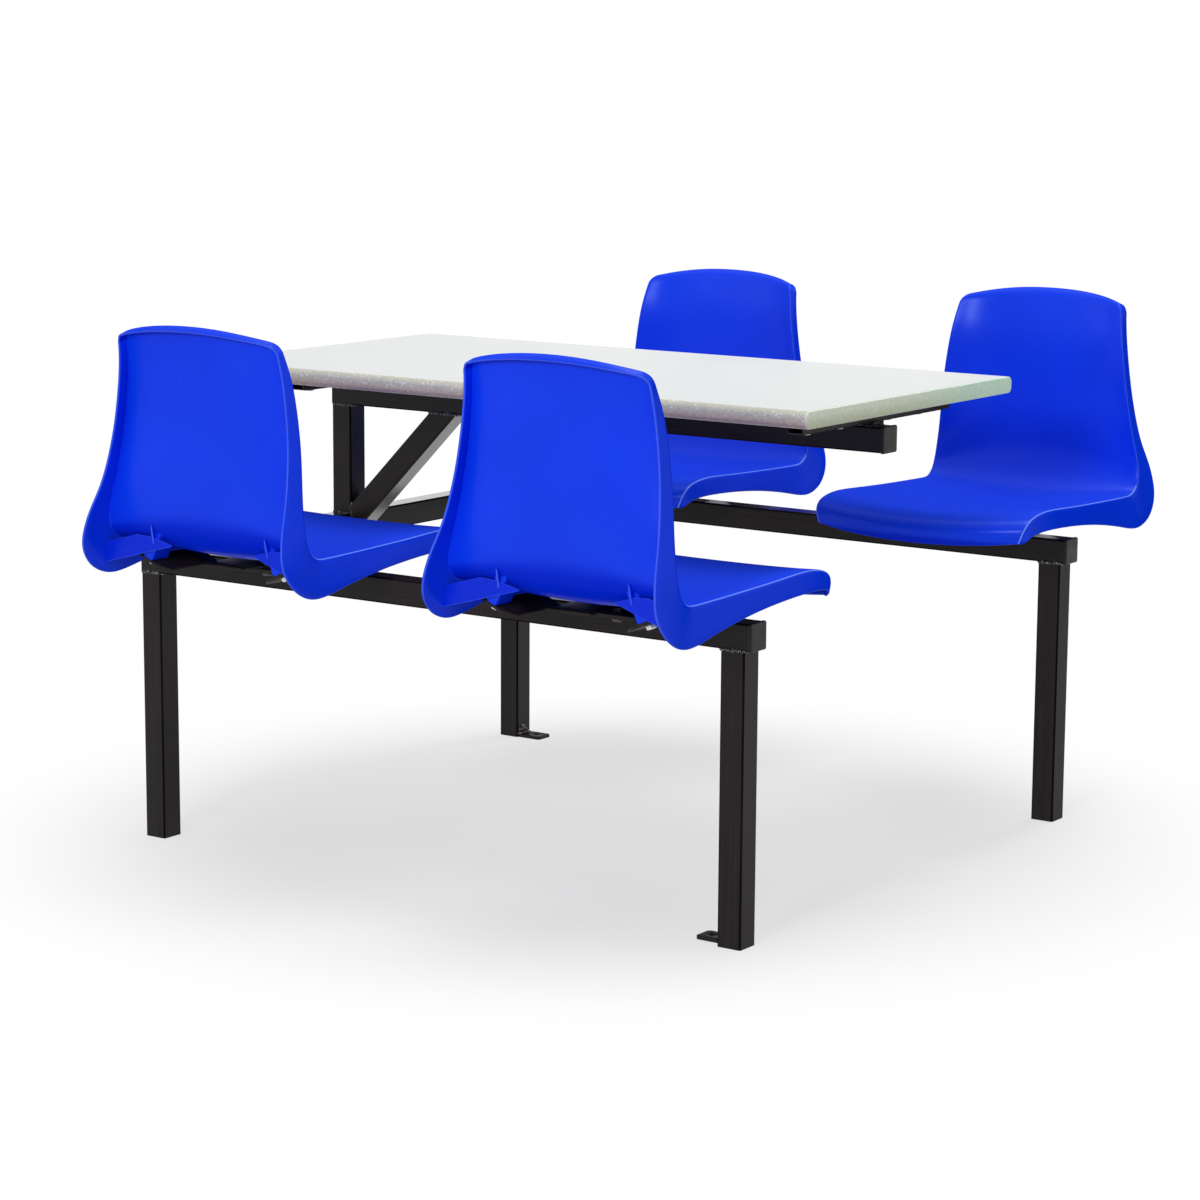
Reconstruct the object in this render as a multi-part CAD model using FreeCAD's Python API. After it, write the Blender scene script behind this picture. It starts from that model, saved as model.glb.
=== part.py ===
# Canteen unit: a steel frame that carries a table top and four moulded seats.
# Millimetres, +Z up.  The origin is on the floor, midway between the four legs.
# X runs along the seat rails towards the free end of the table, Y across the table.
# Near seats stand at -Y, far seats at +Y, and every sitter faces the table.

import FreeCAD, Part
import math
import os
from FreeCAD import Vector, Rotation, Placement

os.makedirs("parts", exist_ok=True)

# ---------------------------------------------------------------- driving dimensions

# steel frame
tube = 38.0               # side of the square tube
tube_wall = 2.0
tube_corner = 3.0         # outer corner radius of the tube
leg_spacing_x = 1050.0    # between leg centres, along the rails
leg_spacing_y = 910.0     # between leg centres, across the table
leg_height = 413.0
rail_overhang = 6.0       # of each seat rail past the legs at the free end
post_height = 177.0       # from the cross beam up to the table beam
beam_setback = 43.0       # of the table beam's free end from the free end of the top
brace_run = 161.0         # of the diagonal brace along the beam, to its upper corner

# plastic end caps
cap_flange = 5.0
cap_depth = 18.0
cap_wall = 2.5
cap_corner = 2.0

# table top
top_length = 1110.0
top_width = 590.0
top_overhang = 40.0       # of the top past the post's outer face
board_thickness = 23.0
sheet_thickness = 1.0     # laminate above, balancing sheet below
edge_round = 9.0          # radius of the rolled long edges
edging_thickness = 3.0
edging_round = 1.5        # on the long corners of the end edging

# bearers under the top
bearer_length = 420.0
bearer_width = 25.0
bearer_height = 20.0
bearer_wall = 2.0
bearer_end_round = 6.0
bearer_insets = (129.0, 71.0)    # of the bearers from the post end and free end of the top
bearer_block = 30.0       # length of the block under each bearer
bearer_lift = 6.0         # height of that block
bearer_screw_near = (30.0, 119.0)   # screws from the near end of a bearer
bearer_screw_far = (76.0, 165.0)    # and from its far end
screw_radius = 2.5
screw_bite = 16.0         # length of screw in the board
screw_head_radius = 6.0
screw_head_height = 3.0

# floor lugs
lug_length = 45.0
lug_width = 35.0
lug_thickness = 5.0
lug_hole_radius = 5.5
lug_hole_inset = 18.0     # from the outer end
lug_corner = 6.0
near_lug_setback = 14.5   # of the near lug from the front face of its leg

# welds
weld_leg = 4.0            # side of a fillet weld
lug_weld = 3.0

# seats
seat_spacing = 620.0      # between the two seats of a rail
seat_shift = 67.0         # of their midpoint from the middle of the rail
pan_width = 378.0         # over the creases, at the widest part of the pan
seat_depth = 400.0        # from the front lip back to the rear bend
back_height = 371.0       # crown above the rails
shell_wall = 3.6
crease_round = 9.0        # rounding distance each side of the crease
pad_width = 80.0
pad_length = 190.0
pad_thickness = 4.0
bracket_width = 180.0     # between the fold lines
bracket_rear = 117.0      # rear edge of the flat middle, behind the rail centre
bracket_front = 120.0
bracket_thickness = 4.0
step_u = 15.0             # place and depth of the step in the bracket's rear edge
step_depth = 12.0
ear_angle = 24.0          # fold of the ears, degrees
ear_reach = 52.0          # along the slope
ear_length = 115.0
ear_rear = 197.0          # rear edge of the rear ears
ear_front = 160.0         # front edge of the front ears
ear_chamfer = 15.0
bolt_on_ear = 36.0        # bolt from the fold line, along the slope
bolt_inset = 17.0         # bolt from the end edge of the ear
boss_radius = 11.0
rib_thickness = 3.0
rib_out_reach = 70.0      # of the outward rib, cut short by the skirt
rib_end_reach = 20.0      # of the rib towards the nearer end of the seat
rib_height = 45.0
rib_foot = 7.0            # rib edge above the end face of its boss
rib_turn = 27.0           # plan angle of the outward rib, degrees
bolt_radius = 4.0
bolt_bite = 14.0          # length of bolt in a boss
bolt_hex = 13.0           # across flats
bolt_head = 5.3
washer_radius = 9.0
washer_thickness = 1.6
nut_height = 6.5
pad_bolt_inset = 20.0     # from each end of the pad

# ---------------------------------------------------------------- levels and places

half = tube / 2
leg_x = leg_spacing_x / 2
leg_y = leg_spacing_y / 2
rail_top = leg_height + tube
rail_left = -leg_x - half
rail_right = leg_x + half + rail_overhang
post_top = rail_top + post_height
beam_top = post_top + tube
bearer_bottom = beam_top + bearer_lift
top_underside = bearer_bottom + bearer_height
top_thickness = board_thickness + 2 * sheet_thickness
top_left = rail_left - top_overhang
top_right = top_left + top_length
beam_right = top_right - beam_setback


def write(name, solids):
    """One STEP file per node: a single solid, or a group of like solids."""
    shape = solids[0] if len(solids) == 1 else Part.makeCompound(solids)
    bad = [s for s in shape.Solids if not s.isValid() or s.Volume <= 0]
    if bad or not shape.Solids:
        raise ValueError("node %s is not sound" % name)
    shape.exportStep("parts/%s.step" % name)


def box(x0, x1, y0, y1, z0, z1):
    return Part.makeBox(x1 - x0, y1 - y0, z1 - z0, Vector(x0, y0, z0))


def rounded_bar(size, radius, length):
    """Square bar of the given side along +X, centred on the X axis."""
    bar = Part.makeBox(length, size, size, Vector(0, -size / 2, -size / 2))
    return bar.makeFillet(radius, [e for e in bar.Edges if e.BoundBox.XLength > length / 2])


def tube_x(length):
    """Square tube along +X, centred on the X axis."""
    bore = rounded_bar(tube - 2 * tube_wall, tube_corner - tube_wall, length)
    return rounded_bar(tube, tube_corner, length).cut(bore)


def laid(shape, start, axis="x"):
    """A bar made along +X, laid from the start point along the named axis."""
    turn = {"x": Rotation(), "y": Rotation(Vector(0, 0, 1), 90),
            "z": Rotation(Vector(0, 1, 0), -90)}[axis]
    out = shape.copy()
    out.Placement = Placement(Vector(*start), turn)
    return out


def prism(points, direction):
    """Solid swept from a flat polygon."""
    loop = [Vector(*p) for p in points]
    return Part.Face(Part.makePolygon(loop + loop[:1])).extrude(Vector(*direction))


def hexagon(across_flats, height):
    radius = across_flats / math.sqrt(3)
    turns = [math.radians(60 * k) for k in range(6)]
    return prism([(radius * math.cos(a), radius * math.sin(a), 0) for a in turns],
                 (0, 0, height))


# ---------------------------------------------------------------- welded steel frame

def rail(side):
    return laid(tube_x(rail_right - rail_left), (rail_left, side * leg_y, leg_height + half))


def leg(end, side):
    return laid(tube_x(leg_height), (end * leg_x, side * leg_y, 0), "z")


def end_cap():
    """Plug and flange, made so that the flange leaves along +X from x = 0."""
    outer = rounded_bar(tube, tube_corner, cap_flange)
    face = [e for e in outer.Edges if abs(e.BoundBox.XMin - cap_flange) < 1e-6
            and e.BoundBox.XLength < 1e-6]
    flange = outer.makeFillet(cap_corner, face)
    fit = tube - 2 * tube_wall
    plug = laid(rounded_bar(fit, tube_corner - tube_wall, cap_depth), (-cap_depth, 0, 0))
    hollow = laid(rounded_bar(fit - 2 * cap_wall, tube_corner - tube_wall, cap_depth),
                  (-cap_depth - cap_wall, 0, 0))
    return flange.fuse(plug.cut(hollow)).removeSplitter()


def capped(x, y, z):
    """End cap on the free end of a tube, with the flange against the cut."""
    cap = end_cap()
    cap.translate(Vector(x, y, z))
    return cap


def flush_plugs():
    """Plugs level with the tube ends that finish flush at the post end."""
    fit = tube - 2 * tube_wall
    plug = laid(rounded_bar(fit, tube_corner - tube_wall, cap_depth), (rail_left, 0, 0))
    hollow = laid(rounded_bar(fit - 2 * cap_wall, tube_corner - tube_wall, cap_depth),
                  (rail_left + cap_wall, 0, 0))
    plug = plug.cut(hollow)
    places = [(-leg_y, leg_height + half), (leg_y, leg_height + half), (0, post_top + half)]
    out = []
    for y, z in places:
        copy = plug.copy()
        copy.translate(Vector(0, y, z))
        out.append(copy)
    return out


def post():
    return laid(tube_x(post_height), (-leg_x, 0, rail_top), "z")


def cross_beam():
    return laid(tube_x(leg_spacing_y - tube), (-leg_x, -leg_y + half, leg_height + half), "y")


def table_beam():
    return laid(tube_x(beam_right - rail_left), (rail_left, 0, post_top + half))


brace_width = tube * math.sqrt(2)          # of its mitred ends
brace_face_x = rail_left + tube            # plane of the upright mitre
brace_top_x = brace_face_x + brace_run     # upper corner under the beam
brace_low_z = post_top - brace_run - brace_width


def diagonal_brace():
    """Tube at 45 degrees, mitred upright against the post and level under the beam."""
    long = tube_x(2 * (brace_run + brace_width))
    long.rotate(Vector(0, 0, 0), Vector(0, 1, 0), -45)
    middle = Vector(brace_face_x, 0, post_top - brace_run - brace_width / 2)
    back = Vector(-brace_width, 0, -brace_width)
    long.translate(middle + back)
    keep = box(brace_face_x, brace_top_x + 2 * brace_width, -tube, tube, 0, post_top)
    return long.common(keep)


def floor_lug(setback, end, side):
    """Plate welded to a leg's inner face, with one hole for a floor bolt."""
    inner = end * (leg_x - half)
    outer = inner - end * lug_length
    front = leg_y + half - setback
    y0, y1 = sorted((side * front, side * (front - lug_width)))
    plate = box(min(inner, outer), max(inner, outer), y0, y1, 0, lug_thickness)
    corners = [e for e in plate.Edges if e.BoundBox.ZLength > lug_thickness / 2
               and abs(e.BoundBox.XMin - outer) < 1e-6]
    plate = plate.makeFillet(lug_corner, corners)
    centre = Vector(outer + end * lug_hole_inset, (y0 + y1) / 2, 0)
    return plate.cut(Part.makeCylinder(lug_hole_radius, lug_thickness, centre))


# ---------------------------------------------------------------- fillet welds

def weld(corner, along, first, second, size=weld_leg):
    """Fillet weld: corner point, run along the joint, and its two legs as unit vectors."""
    corner, along = Vector(*corner), Vector(*along)
    first, second = Vector(*first) * size, Vector(*second) * size
    loop = [corner, corner + first, corner + second, corner]
    return Part.Face(Part.makePolygon(loop)).extrude(along)


weld_run = tube - 2 * tube_corner         # the flat of a tube face


def leg_welds():
    """In the corners between each leg and the rail above it."""
    beads = []
    for side in (-1, 1):
        for end, faces in ((-1, (1,)), (1, (-1, 1))):
            for face in faces:
                size = min(weld_leg, rail_overhang) if face == end else weld_leg
                corner = (end * leg_x + face * half, side * leg_y - weld_run / 2, leg_height)
                beads.append(weld(corner, (0, weld_run, 0), (face, 0, 0), (0, 0, -1), size))
    return beads


def cross_beam_welds():
    """Upright beads between the cross beam and both rails, towards the free end."""
    beads = []
    for side in (-1, 1):
        y = side * (leg_y - half)
        beads.append(weld((rail_left + tube, y, leg_height + tube_corner), (0, 0, weld_run),
                          (1, 0, 0), (0, -side, 0)))
    return beads


def post_welds():
    """Both sides of the post's foot on the cross beam, and its head in the beam's corner."""
    beads = [weld((rail_left + tube_corner, side * half, rail_top), (weld_run, 0, 0),
                  (0, side, 0), (0, 0, 1)) for side in (-1, 1)]
    beads.append(weld((brace_face_x, -weld_run / 2, post_top), (0, weld_run, 0),
                      (1, 0, 0), (0, 0, -1)))
    return beads


def brace_welds():
    """Beads across the upper corner at the post and both corners at the beam."""
    lean = 1 / math.sqrt(2)
    high_foot = brace_low_z + brace_width
    return [weld((brace_face_x, -weld_run / 2, high_foot), (0, weld_run, 0),
                 (0, 0, 1), (lean, 0, lean)),
            weld((brace_top_x, -weld_run / 2, post_top), (0, weld_run, 0),
                 (-1, 0, 0), (-lean, 0, -lean)),
            weld((brace_top_x + brace_width, -weld_run / 2, post_top), (0, weld_run, 0),
                 (1, 0, 0), (-lean, 0, -lean))]


def lug_welds():
    """Along the flat of each leg, on top of its floor lug."""
    beads = []
    for end, side, setback in ((1, -1, near_lug_setback), (-1, 1, 0.0)):
        low = max(tube_corner, setback)
        run = tube - tube_corner - low
        front = side * (leg_y + half - low)
        beads.append(weld((end * (leg_x - half), front, lug_thickness), (0, -side * run, 0),
                          (-end, 0, 0), (0, 0, 1), lug_weld))
    return beads


# ---------------------------------------------------------------- table top

def top_section(x, inset, round_radius):
    """Cross section of the top with rolled long edges, inset from its faces."""
    y = top_width / 2 - inset
    z0, z1 = top_underside + inset, top_underside + top_thickness - inset
    r = round_radius
    q = r * (1 - math.sqrt(0.5))
    line, arc = Part.LineSegment, Part.Arc
    v = lambda a, b: Vector(x, a, b)
    edges = [line(v(-y + r, z0), v(y - r, z0)),
             arc(v(y - r, z0), v(y - q, z0 + q), v(y, z0 + r)),
             line(v(y, z0 + r), v(y, z1 - r)),
             arc(v(y, z1 - r), v(y - q, z1 - q), v(y - r, z1)),
             line(v(y - r, z1), v(-y + r, z1)),
             arc(v(-y + r, z1), v(-y + q, z1 - q), v(-y, z1 - r)),
             line(v(-y, z1 - r), v(-y, z0 + r)),
             arc(v(-y, z0 + r), v(-y + q, z0 + q), v(-y + r, z0))]
    return Part.Face(Part.Wire([e.toShape() for e in edges]))


board_left = top_left + edging_thickness
board_right = top_right - edging_thickness
board_run = Vector(board_right - board_left, 0, 0)


def board():
    return top_section(board_left, sheet_thickness, edge_round - sheet_thickness).extrude(board_run)


def wrapped():
    """Everything outside the board: laminate above and round the edges, sheet below."""
    return top_section(board_left, 0, edge_round).extrude(board_run).cut(board())


def underside_zone():
    flat = top_width / 2 - edge_round
    return box(board_left, board_right, -flat, flat, top_underside,
               top_underside + sheet_thickness)


def end_edging(end):
    """Strip on a short end, with softened corners."""
    x = top_left if end < 0 else board_right
    strip = top_section(x, 0, edge_round).extrude(Vector(edging_thickness, 0, 0))
    outer = top_left if end < 0 else top_right
    rim = [e for e in strip.Edges if abs(e.BoundBox.XMin - outer) < 1e-6
           and abs(e.BoundBox.XMax - outer) < 1e-6]
    return strip.makeFillet(edging_round, rim)


# ---------------------------------------------------------------- bearers

bearer_ends = {"left": top_left + bearer_insets[0], "right": top_right - bearer_insets[1]}


def bearer_screw_places():
    near = [-bearer_length / 2 + d for d in bearer_screw_near]
    far = [bearer_length / 2 - d for d in bearer_screw_far]
    return near + far


def bearer(x):
    """Channel, open side up against the top, with its lower corners rounded at the ends."""
    y = bearer_length / 2
    w = bearer_width / 2
    bar = box(x - w, x + w, -y, y, bearer_bottom, top_underside)
    low = [e for e in bar.Edges if e.BoundBox.XLength > w
           and abs(e.BoundBox.ZMin - bearer_bottom) < 1e-6 and e.BoundBox.YLength < 1e-6]
    bar = bar.makeFillet(bearer_end_round, low)
    inside = box(x - w + bearer_wall, x + w - bearer_wall, -y, y,
                 bearer_bottom + bearer_wall, top_underside)
    bar = bar.cut(inside)
    for place in bearer_screw_places():
        hole = Part.makeCylinder(screw_radius, bearer_wall, Vector(x, place, bearer_bottom))
        bar = bar.cut(hole)
    return bar


def bearer_screw(x, y):
    """Pan head below the bearer, shank up through it into the board."""
    length = bearer_height + screw_bite
    shank = Part.makeCylinder(screw_radius, length, Vector(x, y, bearer_bottom))
    ball = (screw_head_radius ** 2 + screw_head_height ** 2) / (2 * screw_head_height)
    dome = Part.makeSphere(ball, Vector(x, y, bearer_bottom - screw_head_height + ball))
    below = box(x - ball, x + ball, y - ball, y + ball,
                bearer_bottom - screw_head_height, bearer_bottom)
    return dome.common(below).fuse(shank)


def drilled(solid, low, high):
    """The solid with a hole for every bearer screw between two levels."""
    for x in bearer_ends.values():
        for y in bearer_screw_places():
            solid = solid.cut(Part.makeCylinder(screw_radius, high - low, Vector(x, y, low)))
    return solid


def bearer_blocks():
    w = bearer_width / 2
    length = bearer_block / 2
    return [box(x - w, x + w, -length, length, beam_top, bearer_bottom)
            for x in bearer_ends.values()]


def bearer_welds():
    """Short beads in the corner between each side of a block and the beam."""
    beads = []
    run = weld_run / 2
    for x in bearer_ends.values():
        for face in (-1, 1):
            beads.append(weld((x + face * bearer_width / 2, -run / 2, beam_top), (0, run, 0),
                              (face, 0, 0), (0, 0, 1)))
    return beads


# ---------------------------------------------------------------- seat shell
# Seat frame: u across, v forwards to the table, h above the rail; rail centre at v = 0.
# Each station is one row across the shell, from the lower front lip, over the pan, round
# the rear bend and up to the crown: centre line (v, h), crease (u, v, h), free edge (u, v, h).

stations = [
    ((196, 3), (178, 175, 15), (179, 171, 13)),
    ((205, 20), (184, 175, 31), (186, 167, 18)),
    ((199, 36), (188, 165, 46), (190, 158, 25)),
    ((174, 45), (188.5, 142, 55), (192.5, 136, 29)),
    ((118, 43), (189, 100, 59), (194, 96, 30)),
    ((40, 35), (189, 30, 56), (194, 28, 27)),
    ((-40, 28), (188, -50, 53), (194, -48, 20)),
    ((-115, 28), (188, -120, 51), (194, -124, 8)),
    ((-150, 33), (187.5, -158, 50), (194.5, -168, -1)),
    ((-174, 45), (187.5, -179, 50), (194.5, -202, -3)),
    ((-191, 62), (188.5, -192, 55), (195, -231, 7)),
    ((-203, 84), (188.5, -202, 66), (193, -252, 26)),
    ((-212, 110), (187, -207, 88), (189, -262, 53)),
    ((-216.5, 140), (182.5, -205, 115), (182.5, -253, 93)),
    ((-218, 172), (177, -200, 145), (174, -233, 137)),
    ((-216, 232), (168, -192, 213), (165, -217, 210)),
    ((-218, 300), (157, -193, 288), (156, -214, 285)),
    ((-226, 344), (149.5, -202, 328), (151, -218, 325)),
    ((-229, 357), (146, -206, 342), (150, -220, 335)),
    ((-234, 365), (141, -211, 349), (146, -223, 343)),
    ((-240, 368), (137, -217, 352), (140, -226, 347)),
]
rows_per_station = 2
hollow_steps = (0, 0.17, 0.34, 0.5, 0.64, 0.76, 0.87)    # shares of the way to the crease
hollow_power = 2.2        # how flat the hollow is in the middle
skirt_start = 2.2         # where the skirt straightens, in rounding distances
drawn_width, drawn_depth, drawn_height = 378.0, 400.0, 371.0    # of the seat as drawn


def seat_point(u, v, h):
    """A drawn point, stretched to the seat's own width, depth and height."""
    return Vector(u * pan_width / drawn_width, v * seat_depth / drawn_depth,
                  h * back_height / drawn_height)


def row_across(station):
    """Right half of one row: hollow centre, rounded crease, flange to the free edge."""
    (cv, ch), crease, edge = station
    centre = seat_point(0, cv, ch)
    crease, edge = seat_point(*crease), seat_point(*edge)
    points = []
    for step in hollow_steps:
        rise = step ** hollow_power
        points.append(Vector(crease.x * step, centre.y + (crease.y - centre.y) * rise,
                             centre.z + (crease.z - centre.z) * rise))
    inward = points[-1] - crease
    outward = edge - crease
    near = crease + inward * min(crease_round / inward.Length, 0.5)
    share = min(crease_round / outward.Length, 0.25)
    far, beyond = crease + outward * share, crease + outward * skirt_start * share
    middle = (near + far) * 0.25 + crease * 0.5
    return points + [near, middle, far, beyond, (beyond + edge) * 0.5, edge]


def mirrored(point):
    return Vector(-point.x, point.y, point.z)


def between(points, i, share):
    """Point on the smooth curve through a row of points, past point i by a share."""
    before, here = points[max(i - 1, 0)], points[i]
    there, after = points[i + 1], points[min(i + 2, len(points) - 1)]
    return (here * 2 + (there - before) * share
            + (before * 2 - here * 5 + there * 4 - after) * share ** 2
            + (here * 3 - before - there * 3 + after) * share ** 3) * 0.5


def sitter_grid():
    half_rows = [row_across(station) for station in stations]
    columns = list(zip(*half_rows))
    grid = []
    for step in range((len(stations) - 1) * rows_per_station + 1):
        i = min(step // rows_per_station, len(stations) - 2)
        share = step / rows_per_station - i
        half_row = [between(column, i, share) for column in columns]
        grid.append([mirrored(p) for p in half_row[:0:-1]] + half_row)
    return grid


def under_grid(grid):
    """The sitter's grid, set back by the shell wall along its normals."""
    rows, columns = len(grid), len(grid[0])
    out = []
    for i in range(rows):
        row = []
        for j in range(columns):
            along = grid[min(i + 1, rows - 1)][j] - grid[max(i - 1, 0)][j]
            across = grid[i][min(j + 1, columns - 1)] - grid[i][max(j - 1, 0)]
            normal = across.cross(along).normalize()
            row.append(grid[i][j] + normal * shell_wall)
        out.append(row)
    return out


def even_knots(count):
    """Knots and their multiplicities for an evenly spaced cubic with clamped ends."""
    knots = [float(k) for k in range(count - 2)]
    return knots, [4] + [1] * (count - 4) + [4]


def surface(grid):
    """Smooth cubic surface drawn by a grid of poles."""
    row_knots, row_mults = even_knots(len(grid))
    column_knots, column_mults = even_knots(len(grid[0]))
    face = Part.BSplineSurface()
    face.buildFromPolesMultsKnots(grid, row_mults, column_mults, row_knots, column_knots,
                                  False, False, 3, 3)
    return face


def shell_body():
    """Closed shell: sitter's face, under face and the four rims between them."""
    grid = sitter_grid()
    upper, lower = surface(grid), surface(under_grid(grid))
    faces = [upper.toShape(), lower.toShape()]
    u0, u1, v0, v1 = upper.bounds()
    a0, a1, b0, b1 = lower.bounds()
    rims = [(upper.uIso(u0), lower.uIso(a0)), (upper.uIso(u1), lower.uIso(a1)),
            (upper.vIso(v0), lower.vIso(b0)), (upper.vIso(v1), lower.vIso(b1))]
    faces += [Part.makeRuledSurface(p.toShape(), q.toShape()) for p, q in rims]
    skin = Part.makeShell(faces)
    skin.sewShape()
    solid = Part.makeSolid(skin)
    if solid.Volume < 0:
        solid.reverse()
    return solid


# ---------------------------------------------------------------- seat fittings

fold = math.radians(ear_angle)
slope_along = Vector(math.cos(fold), 0, math.sin(fold))      # up the right-hand ears
slope_out = Vector(-math.sin(fold), 0, math.cos(fold))       # square to them, upwards
bracket_low = pad_thickness
bracket_high = pad_thickness + bracket_thickness
fold_u = bracket_width / 2
bolt_rows = (-(ear_rear - bolt_inset), ear_front - bolt_inset)


def bolt_point(v):
    """Where the right-hand bolt axis leaves the top face of an ear."""
    return Vector(fold_u, v, bracket_high) + slope_along * bolt_on_ear


def other_side(shape):
    return shape.mirror(Vector(0, 0, 0), Vector(1, 0, 0))


def nearest_piece(shape, point):
    """The solid of a cut shape that reaches the point."""
    tip = Part.Vertex(point)
    return min(shape.Solids, key=lambda solid: solid.distToShape(tip)[0])


def boss_parts(body, v):
    """Boss on the right-hand bolt axis and two ribs, each ending at the shell."""
    foot = bolt_point(v)
    away = 1 if v > 0 else -1
    column = Part.makeCylinder(boss_radius, rib_foot + rib_height, foot, slope_out)
    raw = [column]
    for heading, reach in ((away * rib_turn, rib_out_reach), (away * 90, rib_end_reach)):
        plate = Part.makeBox(reach, rib_thickness, rib_height,
                             Vector(0, -rib_thickness / 2, rib_foot))
        plate.rotate(Vector(0, 0, 0), Vector(0, 0, 1), heading)
        plate.translate(foot)
        raw.append(plate)
    start = foot + slope_out * (rib_foot + 1)
    return [nearest_piece(solid.cut(body), start) for solid in raw]


def seat_shell():
    """Moulded shell with four bosses, ribbed to its skirt and drilled for the bolts."""
    body = shell_body()
    extras = []
    for v in bolt_rows:
        right = boss_parts(body, v)
        extras += right + [other_side(part) for part in right]
    body = body.fuse(extras)
    for v in bolt_rows:
        hole = Part.makeCylinder(bolt_radius, bolt_bite, bolt_point(v), slope_out)
        body = body.cut([hole, other_side(hole)])
    return body


def seat_pad():
    """Flat plate welded across the rail, holding the bracket by two bolts."""
    plate = box(-pad_width / 2, pad_width / 2, -pad_length / 2, pad_length / 2,
                0, pad_thickness)
    return plate.cut([bolt_hole(v, 0, pad_thickness) for v in pad_bolt_rows()])


def pad_bolt_rows():
    reach = pad_length / 2 - pad_bolt_inset
    return (-reach, reach)


def bolt_hole(v, low, high):
    return Part.makeCylinder(bolt_radius, high - low, Vector(0, v, low))


def bracket_outline():
    """Plan of the bracket: flat middle, stepped rear edge and four ears."""
    tip = fold_u + ear_reach
    rear_end, front_end = -ear_rear, ear_front
    right = [(fold_u, -bracket_rear), (fold_u, rear_end + ear_chamfer),
             (fold_u + ear_chamfer, rear_end), (tip, rear_end),
             (tip, rear_end + ear_length), (fold_u, rear_end + ear_length),
             (fold_u, front_end - ear_length), (tip, front_end - ear_length),
             (tip, front_end), (fold_u + ear_chamfer, front_end),
             (fold_u, front_end - ear_chamfer), (fold_u, bracket_front)]
    left = [(-u, v) for u, v in reversed(right)]
    step = [(-step_u, -bracket_rear), (-step_u, -bracket_rear + step_depth),
            (fold_u, -bracket_rear + step_depth)]
    return left + step + right[1:]


def seat_bracket():
    """Folded plate under the shell: flat on the pad, with its ears turned up."""
    turn = bracket_thickness * math.tan(fold / 2)
    low = Vector(fold_u + turn, 0, bracket_low)
    high = Vector(fold_u, 0, bracket_high)
    end = low + slope_along * (ear_reach + turn)
    right = [low, end, end + slope_out * bracket_thickness, high]
    left = [Vector(-p.x, 0, p.z) for p in reversed(right)]
    start = Vector(0, -ear_rear, 0)
    bent = prism([tuple(p + start) for p in right + left], (0, ear_rear + ear_front, 0))
    plan = prism([(u, v, 0) for u, v in bracket_outline()], (0, 0, ear_reach))
    plate = bent.common(plan)
    for v in bolt_rows:
        base = bolt_point(v) - slope_out * bracket_thickness
        hole = Part.makeCylinder(bolt_radius, bracket_thickness, base, slope_out)
        plate = plate.cut([hole, other_side(hole)])
    return plate.cut([bolt_hole(v, bracket_low, bracket_high) for v in pad_bolt_rows()])


def bolt(base, up, under_head, bite):
    """Hex bolt whose head rests at the base point; its shank runs up through the joint."""
    shank = Part.makeCylinder(bolt_radius, under_head + bite, base, up)
    head = hexagon(bolt_hex, bolt_head)
    head.Placement = Placement(base - up * bolt_head, Rotation(Vector(0, 0, 1), up))
    return head.fuse(shank)


def seat_bolts():
    """Bolts up through the ears into the bosses."""
    out = []
    stack = bracket_thickness + washer_thickness
    for v in bolt_rows:
        right = bolt(bolt_point(v) - slope_out * stack, slope_out, stack, bolt_bite)
        out += [right, other_side(right)]
    return out


def seat_washers():
    out = []
    for v in bolt_rows:
        base = bolt_point(v) - slope_out * (bracket_thickness + washer_thickness)
        disc = Part.makeCylinder(washer_radius, washer_thickness, base, slope_out)
        disc = disc.cut(Part.makeCylinder(bolt_radius, washer_thickness, base, slope_out))
        out += [disc, other_side(disc)]
    return out


def pad_bolts():
    """Bolts down through the bracket and the pad, clear of the rail."""
    stack = pad_thickness + bracket_thickness
    down = Vector(0, 0, -1)
    return [bolt(Vector(0, v, bracket_high), down, stack, nut_height)
            for v in pad_bolt_rows()]


def pad_nuts():
    out = []
    for v in pad_bolt_rows():
        nut = hexagon(bolt_hex, nut_height)
        nut.translate(Vector(0, v, -nut_height))
        out.append(nut.cut(bolt_hole(v, -nut_height, 0)))
    return out


def pad_welds():
    """Beads under the pad along both sides of the rail."""
    run = pad_width - 2 * weld_leg
    return [weld((-run / 2, face * half, 0), (run, 0, 0), (0, face, 0), (0, 0, -1))
            for face in (-1, 1)]


def placed(shape, x, side):
    """A piece of the seat frame, set on a rail with its front to the table."""
    out = shape.copy()
    if side > 0:
        out.rotate(Vector(0, 0, 0), Vector(0, 0, 1), 180)
    out.translate(Vector(x, side * leg_y, rail_top))
    return out


seats = {"near_left": (seat_shift - seat_spacing / 2, -1),
         "near_right": (seat_shift + seat_spacing / 2, -1),
         "far_left": (seat_shift - seat_spacing / 2, 1),
         "far_right": (seat_shift + seat_spacing / 2, 1)}


def on_every_seat(solids):
    return [placed(solid, x, side) for x, side in seats.values() for solid in solids]


# ---------------------------------------------------------------- writing the nodes

sides = {"near": -1, "far": 1}
ends = {"left": -1, "right": 1}

for side_name, side in sides.items():
    write(side_name + "_seat_rail", [rail(side)])
    write(side_name + "_rail_end_cap", [capped(rail_right, side * leg_y, leg_height + half)])
    for end_name, end in ends.items():
        write("%s_%s_leg" % (side_name, end_name), [leg(end, side)])

write("cross_beam", [cross_beam()])
write("table_post", [post()])
write("table_beam", [table_beam()])
write("table_beam_end_cap", [capped(beam_right, 0, post_top + half)])
write("diagonal_brace", [diagonal_brace()])
write("flush_end_plugs", flush_plugs())
write("near_floor_lug", [floor_lug(near_lug_setback, 1, -1)])
write("far_floor_lug", [floor_lug(0.0, -1, 1)])

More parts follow.
